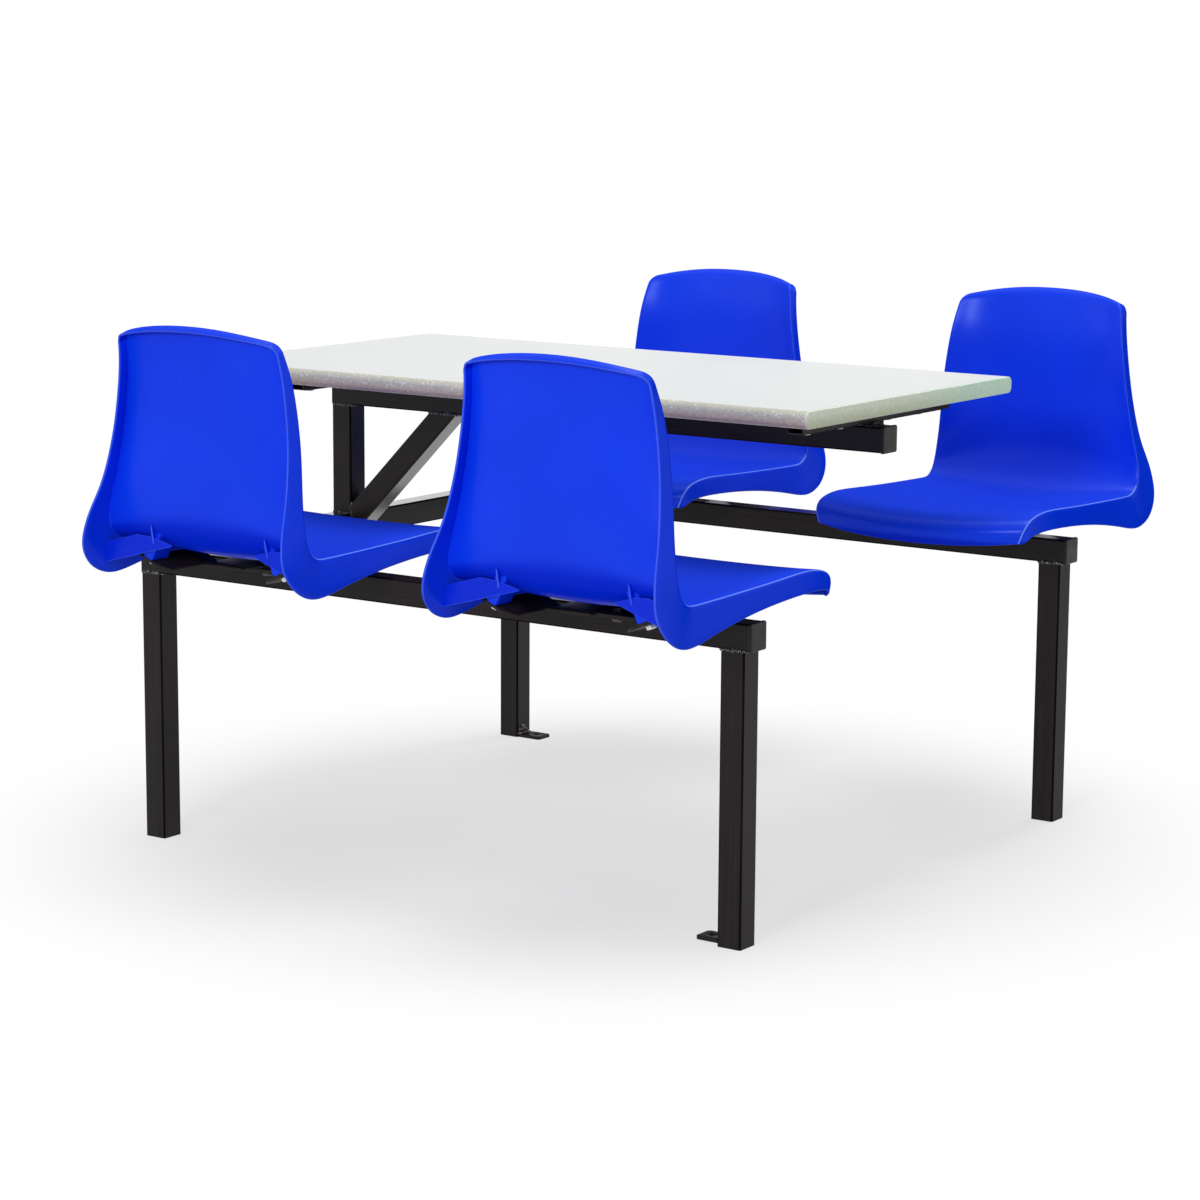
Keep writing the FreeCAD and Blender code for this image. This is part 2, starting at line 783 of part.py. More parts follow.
write("leg_welds", leg_welds())
write("cross_beam_welds", cross_beam_welds())
write("post_welds", post_welds())
write("brace_welds", brace_welds())
write("floor_lug_welds", lug_welds())
write("bearer_welds", bearer_welds())
write("seat_pad_welds", on_every_seat(pad_welds()))

zone = underside_zone()
write("table_top_board", [drilled(board(), top_underside + sheet_thickness,
                                  top_underside + screw_bite)])
write("table_top_laminate", [wrapped().cut(zone)])
write("table_underside_sheet", [drilled(zone, top_underside, top_underside + sheet_thickness)])
for end_name, end in ends.items():
    write("table_%s_edging" % end_name, [end_edging(end)])
for end_name, x in bearer_ends.items():
    write("%s_bearer" % end_name, [bearer(x)])
write("bearer_blocks", bearer_blocks())
write("bearer_screws", [bearer_screw(x, y) for x in bearer_ends.values()
                        for y in bearer_screw_places()])

shell, pad, bracket = seat_shell(), seat_pad(), seat_bracket()
for name, (x, side) in seats.items():
    write(name + "_seat_shell", [placed(shell, x, side)])
    write(name + "_seat_pad", [placed(pad, x, side)])
    write(name + "_seat_bracket", [placed(bracket, x, side)])
write("seat_bolts", on_every_seat(seat_bolts()))
write("seat_washers", on_every_seat(seat_washers()))
write("pad_bolts", on_every_seat(pad_bolts()))
write("pad_nuts", on_every_seat(pad_nuts()))
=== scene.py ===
# Canteen unit: a black steel tube frame that carries a pale table top and four blue
# moulded seats.  Metres, +Z up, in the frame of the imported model.

import bmesh
import bpy
import math
import numpy as np
from mathutils import Matrix, Vector, noise
from mathutils.bvhtree import BVHTree


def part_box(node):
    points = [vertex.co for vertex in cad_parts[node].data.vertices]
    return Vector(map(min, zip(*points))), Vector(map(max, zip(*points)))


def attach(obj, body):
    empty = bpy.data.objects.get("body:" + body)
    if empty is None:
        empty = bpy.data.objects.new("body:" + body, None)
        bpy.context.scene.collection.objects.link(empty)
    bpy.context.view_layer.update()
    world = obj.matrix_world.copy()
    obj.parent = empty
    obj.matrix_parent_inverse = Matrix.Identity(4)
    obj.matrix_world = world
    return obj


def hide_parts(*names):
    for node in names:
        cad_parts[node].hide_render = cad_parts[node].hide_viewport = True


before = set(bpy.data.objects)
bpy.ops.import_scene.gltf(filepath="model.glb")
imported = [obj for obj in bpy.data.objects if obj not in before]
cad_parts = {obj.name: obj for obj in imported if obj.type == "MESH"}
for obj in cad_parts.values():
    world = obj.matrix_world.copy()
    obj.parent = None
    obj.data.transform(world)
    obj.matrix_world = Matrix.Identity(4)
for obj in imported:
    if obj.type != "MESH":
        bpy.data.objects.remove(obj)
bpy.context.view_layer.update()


# ---------------------------------------------------------------- camera
# A long lens at a standing person's height, off the free end of the table and turned a
# little about its own axis.

eye = Vector((2.874, -4.130, 1.243))
yaw, pitch, roll = (math.radians(angle) for angle in (35.06, 9.96, 0.35))

forward = Vector((-math.sin(yaw) * math.cos(pitch), math.cos(yaw) * math.cos(pitch),
                  -math.sin(pitch)))
level = Vector((math.cos(yaw), math.sin(yaw), 0))
upright = level.cross(forward)
right = level * math.cos(roll) + upright * math.sin(roll)
up = upright * math.cos(roll) - level * math.sin(roll)

camera = bpy.data.objects.new("camera", bpy.data.cameras.new("camera"))
camera.data.sensor_width = 36
camera.data.lens = 99.1
camera.data.clip_end = 60
camera.matrix_world = Matrix((right, up, -forward)).transposed().to_4x4()
camera.location = eye
bpy.context.scene.collection.objects.link(camera)
bpy.context.scene.camera = camera
bpy.context.scene.view_settings.view_transform = "Standard"


# ---------------------------------------------------------------- studio
# A pale floor that runs out into a white surround, lit by four soft lamps and an even
# sky.  The floor keeps the shadow under the unit.

floor_reach = 14.0
floor_fade = (0.50, 1.10)    # where the floor begins and ends its turn to white
floor_white = 0.56           # share of white in the floor under the unit
sky_level = 0.50
white = (1, 1, 1, 1)
# place, width in metres and power in watts
lamps = {"key": ((1.0, -4.9, 2.2), 1.2, 82), "fill": ((-3.6, -3.0, 2.4), 2.4, 14),
         "head": ((0.2, 0.6, 4.2), 2.0, 54), "back": ((0.6, 4.6, 2.7), 1.3, 44)}
lamp_aim = Vector((0, 0, 0.45))
lamp_glint = 0.5             # how far a lamp shows in a reflection


def srgb(red, green, blue):
    """Colour as seen on a screen, 0 to 255, as the linear colour of a shader."""
    linear = [c / 3294.6 if c <= 10.31 else ((c / 255 + 0.055) / 1.055) ** 2.4
              for c in (red, green, blue)]
    return (*linear, 1)


def add_node(tree, kind, inputs=None, **settings):
    """A node with its settings made; an input takes a value or the socket that feeds it."""
    node = tree.nodes.new(kind)
    for key, value in settings.items():
        setattr(node, key, value)
    for key, value in (inputs or {}).items():
        if isinstance(value, bpy.types.NodeSocket):
            tree.links.new(value, node.inputs[key])
        else:
            node.inputs[key].default_value = value
    return node


def maths(tree, operation, first, second=0.5, clamp=False):
    """One sum of two values; each is a number or the socket that feeds it."""
    node = add_node(tree, "ShaderNodeMath", {0: first, 1: second}, operation=operation,
                    use_clamp=clamp)
    return node.outputs[0]


def spread(tree, value, low, high, to_low=0.0, to_high=1.0):
    """The value's range, low to high, spread smoothly over another range."""
    node = add_node(tree, "ShaderNodeMapRange",
                    {"Value": value, "From Min": low, "From Max": high,
                     "To Min": to_low, "To Max": to_high}, interpolation_type="SMOOTHSTEP")
    return node.outputs["Result"]


def blended(tree, share, first, second):
    """Two colours mixed by a share that varies over the surface."""
    node = add_node(tree, "ShaderNodeMix", {0: share, 6: first, 7: second}, data_type="RGBA")
    return node.outputs[2]


def seen_directly(tree):
    """1 for what the camera, a reflection or clear glass looks at."""
    path = add_node(tree, "ShaderNodeLightPath")
    rays = maths(tree, "ADD", path.outputs["Is Camera Ray"], path.outputs["Is Glossy Ray"])
    return maths(tree, "ADD", rays, path.outputs["Is Transmission Ray"], clamp=True)


world = bpy.data.worlds.new("white_surround")
world.use_nodes = True
tree = world.node_tree
tree.nodes.clear()
sky = add_node(tree, "ShaderNodeBackground",
               {"Color": srgb(253, 253, 255), "Strength": sky_level})
surround = add_node(tree, "ShaderNodeBackground", {"Color": white})
choice = add_node(tree, "ShaderNodeMixShader",
                  {0: seen_directly(tree), 1: sky.outputs[0], 2: surround.outputs[0]})
add_node(tree, "ShaderNodeOutputWorld", {"Surface": choice.outputs[0]})
bpy.context.scene.world = world

for lamp_name, (place, width, power) in lamps.items():
    lamp = bpy.data.objects.new(lamp_name, bpy.data.lights.new(lamp_name, "AREA"))
    lamp.data.shape = "DISK"
    lamp.data.size = width
    lamp.data.energy = power
    lamp.data.specular_factor = lamp_glint
    lamp.location = place
    aim = lamp_aim - lamp.location
    lamp.rotation_euler = aim.to_track_quat("-Z", "Y").to_euler()
    bpy.context.scene.collection.objects.link(lamp)


def new_mesh(name, points, faces, material, smooth=True, sharp=35):
    """A mesh object at the origin, smooth but for the corners sharper than sharp."""
    mesh = bpy.data.meshes.new(name)
    mesh.from_pydata([tuple(p) for p in points], [], [list(map(int, f)) for f in faces])
    mesh.validate()
    mesh.polygons.foreach_set("use_smooth", [smooth] * len(mesh.polygons))
    if smooth:
        mesh.set_sharp_from_angle(angle=math.radians(sharp))
    mesh.materials.append(material)
    piece = bpy.data.objects.new(name, mesh)
    bpy.context.scene.collection.objects.link(piece)
    return piece


def principled(name, **constants):
    """A material with its Principled shader; constants go straight to its sockets."""
    material = bpy.data.materials.new(name)
    material.use_nodes = True
    tree = material.node_tree
    shader = tree.nodes["Principled BSDF"]
    for key, value in constants.items():
        shader.inputs[key.replace("_", " ")].default_value = value
    return material, tree, shader


def feed(tree, inputs, **sources):
    """Links each source to the input of its name, with _ for a space."""
    for name, source in sources.items():
        tree.links.new(source, inputs[name.replace("_", " ")])


def noise_at(tree, scale, detail=2.0, roughness=0.5):
    """Soft noise fixed to the object, about 0 to 1."""
    spot = add_node(tree, "ShaderNodeTexCoord").outputs["Object"]
    node = add_node(tree, "ShaderNodeTexNoise",
                    {"Vector": spot, "Scale": scale, "Detail": detail, "Roughness": roughness})
    return node.outputs["Fac"]


floor_paint, tree, shader = principled("floor_paint", Roughness=0.75)
spot = add_node(tree, "ShaderNodeTexCoord").outputs["Object"]
away = add_node(tree, "ShaderNodeVectorMath", {0: spot}, operation="LENGTH").outputs["Value"]
tint = spread(tree, noise_at(tree, 3.0), 0.3, 0.7)
feed(tree, shader.inputs,
     Base_Color=blended(tree, tint, srgb(214, 214, 214), srgb(218, 218, 218)))
glow = add_node(tree, "ShaderNodeEmission", {"Color": white})
white_share = maths(tree, "MULTIPLY", spread(tree, away, *floor_fade, floor_white, 1.0),
                    seen_directly(tree))
fade = add_node(tree, "ShaderNodeMixShader",
                {0: white_share, 1: shader.outputs[0], 2: glow.outputs[0]})
feed(tree, tree.nodes["Material Output"].inputs, Surface=fade.outputs[0])

floor = new_mesh("floor", [(-floor_reach, -floor_reach, 0), (floor_reach, -floor_reach, 0),
                           (floor_reach, floor_reach, 0), (-floor_reach, floor_reach, 0)],
                 [(0, 1, 2, 3)], floor_paint, smooth=False)


# ---------------------------------------------------------------- frame tubes
# Square steel tube, cut and welded, then powder coated satin black.  The coat has a fine
# orange peel and faint draw lines along the tube, and thin dust lies where a face looks up.

paint_black, paint_clear = srgb(20, 14, 15), srgb(34, 27, 27)
paint_dusty = srgb(54, 47, 44)
paint_rough = (0.30, 0.42)
paint_specular = 0.19                        # seen square on
slanted_tube, slanted_plate = 0.09, 0.02     # the same at a slant
gloss = {"Coat_Roughness": 0.12, "Coat_IOR": 2.1}    # of the smooth tube, at a slant
dull_from, gloss_from, gloss_full = 0.42, 0.56, 0.68    # how slanted, 0 to 1
rail_gloss = 0.4             # share of that gloss on the tubes that run along X
corner_from, corner_full = 0.08, 0.3    # how far round its corner a tube's face has turned
peel_scale, peel_depth = 700.0, 0.00006
line_scale, line_length = 320.0, 0.012       # draw lines: fine across, long along the tube


def shader_group(name, inputs, outputs):
    """An empty shader node group; inputs has the name and value of each, outputs names."""
    group = bpy.data.node_groups.new(name, "ShaderNodeTree")
    for label, default in inputs.items():
        group.interface.new_socket(label, in_out="INPUT",
                                   socket_type="NodeSocketFloat").default_value = default
    for label in outputs:
        group.interface.new_socket(label, in_out="OUTPUT", socket_type="NodeSocketFloat")
    return (group, group.nodes.new("NodeGroupInput").outputs,
            group.nodes.new("NodeGroupOutput").inputs)


def placed_group(tree, group, **values):
    """The group in a material's tree, with its own values."""
    node = tree.nodes.new("ShaderNodeGroup")
    node.node_tree = group
    for key, value in values.items():
        node.inputs[key.replace("_", " ")].default_value = value
    return node.outputs


def normal_parts(tree):
    """X, Y and Z of the surface's normal."""
    normal = add_node(tree, "ShaderNodeNewGeometry").outputs["Normal"]
    return add_node(tree, "ShaderNodeSeparateXYZ", {0: normal}).outputs


# fine grain with a slow mottle: orange peel, moulded texture, rolled sheet
grain, given, result = shader_group("fine_grain", {"Grain Scale": 700.0, "Mottle Scale": 14.0},
                                    ("Height", "Mottle"))
feed(grain, result, Height=noise_at(grain, given["Grain Scale"], 3.0),
     Mottle=spread(grain, noise_at(grain, given["Mottle Scale"], 4.0, 0.6), 0.3, 0.7))

# dust: settles on faces that look up, in thin patches
dust, given, result = shader_group("settled_dust", {"Patch Scale": 30.0}, ("Dust",))
patches = spread(dust, noise_at(dust, given["Patch Scale"], 5.0, 0.65), 0.35, 0.75)
looks_up = spread(dust, normal_parts(dust)["Z"], 0.6, 0.95)
feed(dust, result, Dust=maths(dust, "MULTIPLY", looks_up, patches))

# draw lines: fine streaks that run along one axis
drawn, given, result = shader_group("draw_lines", {"Along X": 1.0, "Along Y": 1.0,
                                                   "Along Z": 1.0}, ("Line",))
spot = add_node(drawn, "ShaderNodeTexCoord").outputs["Object"]
squeeze = add_node(drawn, "ShaderNodeCombineXYZ",
                   {"X": given["Along X"], "Y": given["Along Y"], "Z": given["Along Z"]})
spot = add_node(drawn, "ShaderNodeVectorMath", {0: spot, 1: squeeze.outputs[0]},
                operation="MULTIPLY").outputs["Vector"]
streak = add_node(drawn, "ShaderNodeTexNoise", {"Vector": spot, "Scale": line_scale,
                                                "Detail": 2.0})
feed(drawn, result, Line=spread(drawn, streak.outputs["Fac"], 0.35, 0.68))


def bumped(tree, shader, height, depth):
    """Fine relief on a shader, depth metres deep."""
    bump = add_node(tree, "ShaderNodeBump", {"Height": height, "Distance": depth})
    feed(tree, shader.inputs, Normal=bump.outputs[0])


def off_corner(tree, along):
    """1 on the flat faces of a tube along an axis, down to 0 round its corners."""
    parts = normal_parts(tree)
    first, second = (parts[axis] for axis in range(3) if axis != along)
    turned = maths(tree, "ABSOLUTE", maths(tree, "MULTIPLY", first, second))
    return spread(tree, turned, corner_from, corner_full, 1.0, 0.0)


def black_paint(name, grain_scale=peel_scale, depth=peel_depth, dust_share=0.35, along=None):
    """Satin black powder coat over steel; along is a tube's axis, 0 to 2, or -1 for a
    slanting tube, and None for plate."""
    material, tree, shader = principled(name, Specular_IOR_Level=paint_specular,
                                        **({} if along is None else gloss))
    slant = add_node(tree, "ShaderNodeLayerWeight").outputs["Facing"]
    sheen = spread(tree, slant, dull_from, gloss_from, paint_specular,
                   slanted_plate if along is None else slanted_tube)
    if along is not None:
        coat = spread(tree, slant, gloss_from, gloss_full, 0.0,
                      rail_gloss if along == 0 else 1.0)
        if along >= 0:
            flat = off_corner(tree, along)
            sheen = maths(tree, "MULTIPLY", sheen, flat)
            coat = maths(tree, "MULTIPLY", coat, flat)
        feed(tree, shader.inputs, Coat_Weight=coat)
    skin = placed_group(tree, grain, Grain_Scale=grain_scale)
    dusty = maths(tree, "MULTIPLY", placed_group(tree, dust)["Dust"], dust_share)
    tone = skin["Mottle"]
    if along in (0, 1, 2):
        lines = placed_group(tree, drawn, **{"Along_" + "XYZ"[along]: line_length})
        tone = maths(tree, "MULTIPLY", lines["Line"], spread(tree, tone, 0, 1, 0.45, 1.0))
    colour = blended(tree, tone, paint_black, paint_clear)
    colour = blended(tree, dusty, colour, paint_dusty)
    feed(tree, shader.inputs, Specular_IOR_Level=sheen, Base_Color=colour,
         Roughness=spread(tree, tone, 0, 1, *paint_rough))
    bumped(tree, shader, skin["Height"], depth)
    return material


def dress(node, material):
    """A CAD node keeps its shape and takes a finish."""
    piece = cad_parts[node]
    for slot in piece.material_slots:
        slot.material = material


tube_axes = {"near_seat_rail": 0, "far_seat_rail": 0, "table_beam": 0, "cross_beam": 1,
             "near_left_leg": 2, "near_right_leg": 2, "far_left_leg": 2,
             "far_right_leg": 2, "table_post": 2, "diagonal_brace": -1}
tube_paints = {axis: black_paint("tube_powder_coat_%d" % number, along=axis)
               for number, axis in enumerate((0, 1, 2, -1))}
for node, axis in tube_axes.items():
    dress(node, tube_paints[axis])


# ---------------------------------------------------------------- welds
# Hand laid beads at every tube joint, painted over with the frame.  Each bead is a row of
# overlapping ripples, a little uneven, with painted glints in bright specks, as of bare metal;
# the beads on the floor lugs carry more of them.

ripple_spacing = 0.0031
ripple_radius = 0.0035
ripple_flatness = 0.62       # of a ripple along the bead
ripple_sizes = (0.78, 1.18)  # of the smallest and the largest ripple, as shares
ripple_spread = 0.0005       # how far a ripple may wander
corner_round = 0.003         # of a tube
bead_sink = 0.0016           # how deep a bead between flush faces sits
x_way, y_way, z_way = (1, 0, 0), (0, 1, 0), (0, 0, 1)


def nodes_tree(name, inputs):
    """An empty Geometry Nodes tree: geometry in and out, and named inputs."""
    tree = bpy.data.node_groups.new(name, "GeometryNodeTree")
    tree.interface.new_socket("Geometry", in_out="INPUT", socket_type="NodeSocketGeometry")
    tree.interface.new_socket("Geometry", in_out="OUTPUT", socket_type="NodeSocketGeometry")
    for label, kind in inputs.items():
        tree.interface.new_socket(label, in_out="INPUT", socket_type="NodeSocket" + kind)
    return tree, tree.nodes.new("NodeGroupInput").outputs, tree.nodes.new("NodeGroupOutput")


def grown(name, seed_mesh, tree, values):
    """Plain mesh that the tree makes from a seed mesh."""
    seed = bpy.data.objects.new(name + "_seed", seed_mesh)
    bpy.context.scene.collection.objects.link(seed)
    modifier = seed.modifiers.new("grow", "NODES")
    modifier.node_group = tree
    for item in tree.interface.items_tree:
        if item.in_out == "INPUT" and item.name in values:
            modifier[item.identifier] = values[item.name]
    depsgraph = bpy.context.evaluated_depsgraph_get()
    mesh = bpy.data.meshes.new_from_object(seed.evaluated_get(depsgraph))
    bpy.data.objects.remove(seed)
    mesh.name = name
    piece = bpy.data.objects.new(name, mesh)
    bpy.context.scene.collection.objects.link(piece)
    return piece


def real_copies(tree, result, material, smooth, **inputs):
    """What a tree gives: real copies of an instance on its points, in a material."""
    row = add_node(tree, "GeometryNodeInstanceOnPoints", inputs)
    last = add_node(tree, "GeometryNodeRealizeInstances", {"Geometry": row.outputs[0]})
    if smooth:
        last = add_node(tree, "GeometryNodeSetShadeSmooth", {"Geometry": last.outputs[0]})
    last = add_node(tree, "GeometryNodeSetMaterial",
                    {"Geometry": last.outputs[0], "Material": material})
    feed(tree, result.inputs, Geometry=last.outputs[0])


bead_tree, given, result = nodes_tree("weld_bead", {
    "Spacing": "Float", "Radius": "Float", "Flatness": "Float", "Wander": "Float",
    "Seed": "Int", "Paint": "Material"})
path = add_node(bead_tree, "GeometryNodeMeshToCurve", {"Mesh": given["Geometry"]})
steps = add_node(bead_tree, "GeometryNodeResampleCurve",
                 {"Curve": path.outputs[0], "Length": given["Spacing"]}, mode="LENGTH")
drop = add_node(bead_tree, "GeometryNodeMeshIcoSphere",
                {"Radius": given["Radius"], "Subdivisions": 2})
squash = add_node(bead_tree, "ShaderNodeCombineXYZ",
                  {"X": 1.0, "Y": 1.0, "Z": given["Flatness"]})
ripple = add_node(bead_tree, "GeometryNodeTransform",
                  {"Geometry": drop.outputs["Mesh"], "Scale": squash.outputs[0]})
run = add_node(bead_tree, "GeometryNodeInputTangent")
turn = add_node(bead_tree, "FunctionNodeAlignRotationToVector", {"Vector": run.outputs[0]},
                axis="Z")
size = add_node(bead_tree, "FunctionNodeRandomValue", {"Seed": given["Seed"]},
                data_type="FLOAT")
size.inputs[2].default_value, size.inputs[3].default_value = ripple_sizes
back = maths(bead_tree, "MULTIPLY", given["Wander"], -1.0)
shift = add_node(bead_tree, "FunctionNodeRandomValue",
                 {0: back, 1: given["Wander"], "Seed": given["Seed"]},
                 data_type="FLOAT_VECTOR")
moved = add_node(bead_tree, "GeometryNodeSetPosition",
                 {"Geometry": steps.outputs[0], "Offset": shift.outputs[0]})
real_copies(bead_tree, result, given["Paint"], True, Points=moved.outputs[0],
            Instance=ripple.outputs[0], Rotation=turn.outputs[0], Scale=size.outputs[1])


def bead_coat(name, first, last):
    """Coat over a bead with painted glints: bright specks, as of bare metal, where the grain
    rises from first to last.
    """
    material, tree, shader = principled(name, Specular_IOR_Level=0.6, Roughness=0.22)
    skin = placed_group(tree, grain, Grain_Scale=430.0, Mottle_Scale=90.0)
    painted_glints = spread(tree, skin["Height"], first, last)
    feed(tree, shader.inputs, Metallic=maths(tree, "MULTIPLY", painted_glints, 0.45),
         Base_Color=blended(tree, painted_glints, srgb(22, 19, 20), srgb(198, 196, 191)))
    bumped(tree, shader, skin["Height"], 0.0003)
    return material


bead_paint = bead_coat("bead_powder_coat", 0.58, 0.66)


def laid_beads(name, node, lines, paint, seed, radius=ripple_radius,
               spacing=ripple_spacing, wander=ripple_spread):
    """One node's beads, each along a straight line between two points."""
    mesh = bpy.data.meshes.new(name + "_paths")
    points = [p for line in lines for p in line]
    mesh.from_pydata(points, [(k, k + 1) for k in range(0, len(points), 2)], [])
    piece = grown(name, mesh, bead_tree,
                  {"Spacing": spacing, "Radius": radius, "Flatness": ripple_flatness,
                   "Wander": wander, "Seed": seed, "Paint": paint})
    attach(piece, "root")
    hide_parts(node)


near_low, near_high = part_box("near_seat_rail")
tube_half = (near_high.y - near_low.y) / 2
tube_flat = tube_half - corner_round         # from the middle of a face to its corner


def across(centre, direction, reach=tube_flat):
    """Both ends of a line through a centre, each a reach away from it."""
    centre, direction = Vector(centre), Vector(direction)
    return (centre - direction * reach, centre + direction * reach)


far_low, far_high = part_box("far_seat_rail")
leg_top, rail_top = near_low.z, near_high.z
rail_y = {-1: (near_low.y + near_high.y) / 2, 1: (far_low.y + far_high.y) / 2}
flush = tube_half - bead_sink

lines = []
for side_name in ("near", "far"):
    for end_name in ("left", "right"):
        low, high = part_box("%s_%s_leg" % (side_name, end_name))
        x, y = (low.x + high.x) / 2, (low.y + high.y) / 2
        for face in (-1, 1):
            at_end = end_name == "left" and face < 0
            reach = flush if at_end else tube_half
            lines.append(across((x + face * reach, y, leg_top), y_way))
            lines.append(across((x, y + face * flush, leg_top), x_way))
laid_beads("leg_weld_beads", "leg_welds", lines, bead_paint, 3)

low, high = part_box("cross_beam")
beam_x, middle_z = (low.x + high.x) / 2, (leg_top + rail_top) / 2
lines = []
for y in (low.y, high.y):
    lines.append(across((high.x, y, middle_z), z_way))
    lines.append(across((low.x + bead_sink, y, middle_z), z_way))
    for z in (low.z + bead_sink, high.z - bead_sink):
        lines.append(across((beam_x, y, z), x_way))
laid_beads("cross_beam_weld_beads", "cross_beam_welds", lines, bead_paint, 5)

low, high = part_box("table_post")
post_face, post_top = high.x, high.z
lines = []
for face in (-1, 1):
    lines.append(across((beam_x, face * tube_half, low.z), x_way))
    lines.append(across((beam_x + face * flush, 0, low.z), y_way))
    lines.append(across((beam_x, face * flush, post_top), x_way))
lines.append(across((post_face, 0, post_top), y_way))
lines.append(across((low.x + bead_sink, 0, post_top), y_way))
laid_beads("post_weld_beads", "post_welds", lines, bead_paint, 7, radius=0.0032)

low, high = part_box("diagonal_brace")
brace_width = 2 * tube_half * math.sqrt(2)
lines = []
for z in (low.z, low.z + brace_width):
    lines.append(across((post_face, 0, z), y_way))
for x in (high.x - brace_width, high.x):
    lines.append(across((x, 0, post_top), y_way))
reach = brace_width / 2 - corner_round
for face in (-1, 1):
    lines.append(across((post_face, face * flush, low.z + brace_width / 2), z_way, reach))
    lines.append(across((high.x - brace_width / 2, face * flush, post_top), x_way, reach))
laid_beads("brace_weld_beads", "brace_welds", lines, bead_paint, 11)

# lug beads: rougher work, with spatter stuck to the leg above
# more painted glints on the lug beads
lug_bead_steel = bead_coat("lug_bead_steel", 0.5, 0.6)
spatter_out = 0.0008         # from the face of the leg
spatter = ((0.0075, 0.1, 0.75), (0.0125, 0.3, 0.6))    # height, and where along the bead
lines = []
for node, leg_node, inner in (("near_floor_lug", "near_right_leg", -1),
                              ("far_floor_lug", "far_left_leg", 1)):
    low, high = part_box(node)
    leg_low, leg_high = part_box(leg_node)
    x = leg_low.x if inner < 0 else leg_high.x
    y0 = max(low.y, leg_low.y + corner_round)
    y1 = min(high.y, leg_high.y - corner_round)
    lines.append(((x, y0, high.z), (x, y1, high.z)))
    x -= inner * spatter_out
    for rise, start, end in spatter:
        lines.append(((x, y0 + (y1 - y0) * start, high.z + rise),
                      (x, y0 + (y1 - y0) * end, high.z + rise)))
laid_beads("lug_weld_beads", "floor_lug_welds", lines, lug_bead_steel, 13, radius=0.0025,
           spacing=0.003, wander=0.0011)


# ---------------------------------------------------------------- end caps
# Moulded black plastic plugs: those at the free end have a square flange, a little wider
# than the tube and rounded at its rim, and those at the post end sit level with it.

flange_over = 0.0008
flange_rim = 0.0011
flat_angle, sharp_angle = 0.6, 22    # degrees: merged below the first, eased above the second
level_with_end = 1e-5                # anything nearer to a tube's end is level with it


def grained(name, scales, tones, rough, relief, **constants):
    """A material whose mottle runs between two tones and between two roughnesses, with
    the relief of its grain; scales are those of grain and mottle."""
    material, tree, shader = principled(name, **constants)
    skin = placed_group(tree, grain, Grain_Scale=scales[0], Mottle_Scale=scales[1])
    feed(tree, shader.inputs, Base_Color=blended(tree, skin["Mottle"], *tones),
         Roughness=spread(tree, skin["Mottle"], 0, 1, *rough))
    bumped(tree, shader, skin["Height"], relief)
    return material


cap_plastic = grained("cap_plastic", (1400.0, 60.0), (srgb(18, 16, 14), srgb(28, 25, 22)),
                      (0.35, 0.5), 0.00008, Specular_IOR_Level=0.26)
dress("flush_end_plugs", cap_plastic)


def eased(name, node, width, material, stretch=None):
    """A copy of a CAD node with its sharp edges eased, standing for it.  Stretch moves
    its corners first."""
    shape = bmesh.new()
    shape.from_mesh(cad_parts[node].data)
    bmesh.ops.remove_doubles(shape, verts=shape.verts, dist=1e-6)
    bmesh.ops.dissolve_limit(shape, angle_limit=math.radians(flat_angle), verts=shape.verts,
                             edges=shape.edges)
    if stretch:
        for vert in shape.verts:
            vert.co = stretch(vert.co)
    sharp = [edge for edge in shape.edges if len(edge.link_faces) == 2
             and edge.calc_face_angle(0) > math.radians(sharp_angle)]
    bmesh.ops.bevel(shape, geom=sharp, offset=width, segments=2, affect="EDGES",
                    profile=0.5, clamp_overlap=True)
    bmesh.ops.triangulate(shape, faces=[f for f in shape.faces if len(f.verts) > 4])
    shape.verts.index_update()
    piece = new_mesh(name, [v.co for v in shape.verts],
                     [[v.index for v in face.verts] for face in shape.faces], material)
    shape.free()
    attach(piece, "root")
    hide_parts(node)


for node, tube in (("near_rail_end_cap", "near_seat_rail"),
                   ("far_rail_end_cap", "far_seat_rail"),
                   ("table_beam_end_cap", "table_beam")):
    tube_low, tube_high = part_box(tube)
    middle = (tube_low + tube_high) / 2

    def wider(corner):
        """A corner of the flange, moved out past the tube."""
        if corner.x < tube_high.x - level_with_end:
            return corner
        grow = 1 + flange_over / tube_half
        return Vector((corner.x, middle.y + (corner.y - middle.y) * grow,
                       middle.z + (corner.z - middle.z) * grow))

    eased(node + "_moulding", node, flange_rim, cap_plastic, stretch=wider)


# ---------------------------------------------------------------- floor lugs
# Flat steel plates with one bolt hole, welded to the feet of two legs.  Their sawn edges
# are eased.

plate_ease = 0.0006
plate_paint = black_paint("plate_powder_coat", grain_scale=800.0, depth=0.00005,
                          dust_share=0.4)

for node in ("near_floor_lug", "far_floor_lug"):
    eased(node + "_plate", node, plate_ease, plate_paint)


# ---------------------------------------------------------------- table top
# Particle board between two laminate sheets.  The face is a plain pale laminate; the
# rolled long edges and the edging on the ends have a pebbled, slightly glossy surface.

sheet = 0.001
edge_round = 0.009
edge_step = 0.0016           # mesh along the edge, fine enough for the pebbles
pebble_size = 0.0026
pebble_depth = 0.00022
tone_band = (-0.011, 0.009)      # from the low tones to the top ones, round the middle
sparkle_band = (-0.006, 0.008)     # round the middle: where painted sparkles begin, and where they are full
far_from = -0.1                  # where the far tones begin to take over, in Y
face_step = (0.0004, 0.00015)    # width and height, at the rim of the face
strip_ease = 0.0016              # of the strip on each end
bend_steps = 8                   # round each corner of the board
outline_step = 0.006             # along the straight parts of a strip's outline

board_core = grained("board_core", (180.0, 320.0),
                     (srgb(176, 143, 104), srgb(206, 178, 138)), (0.85, 0.85), 0.0003)
dress("table_top_board", board_core)

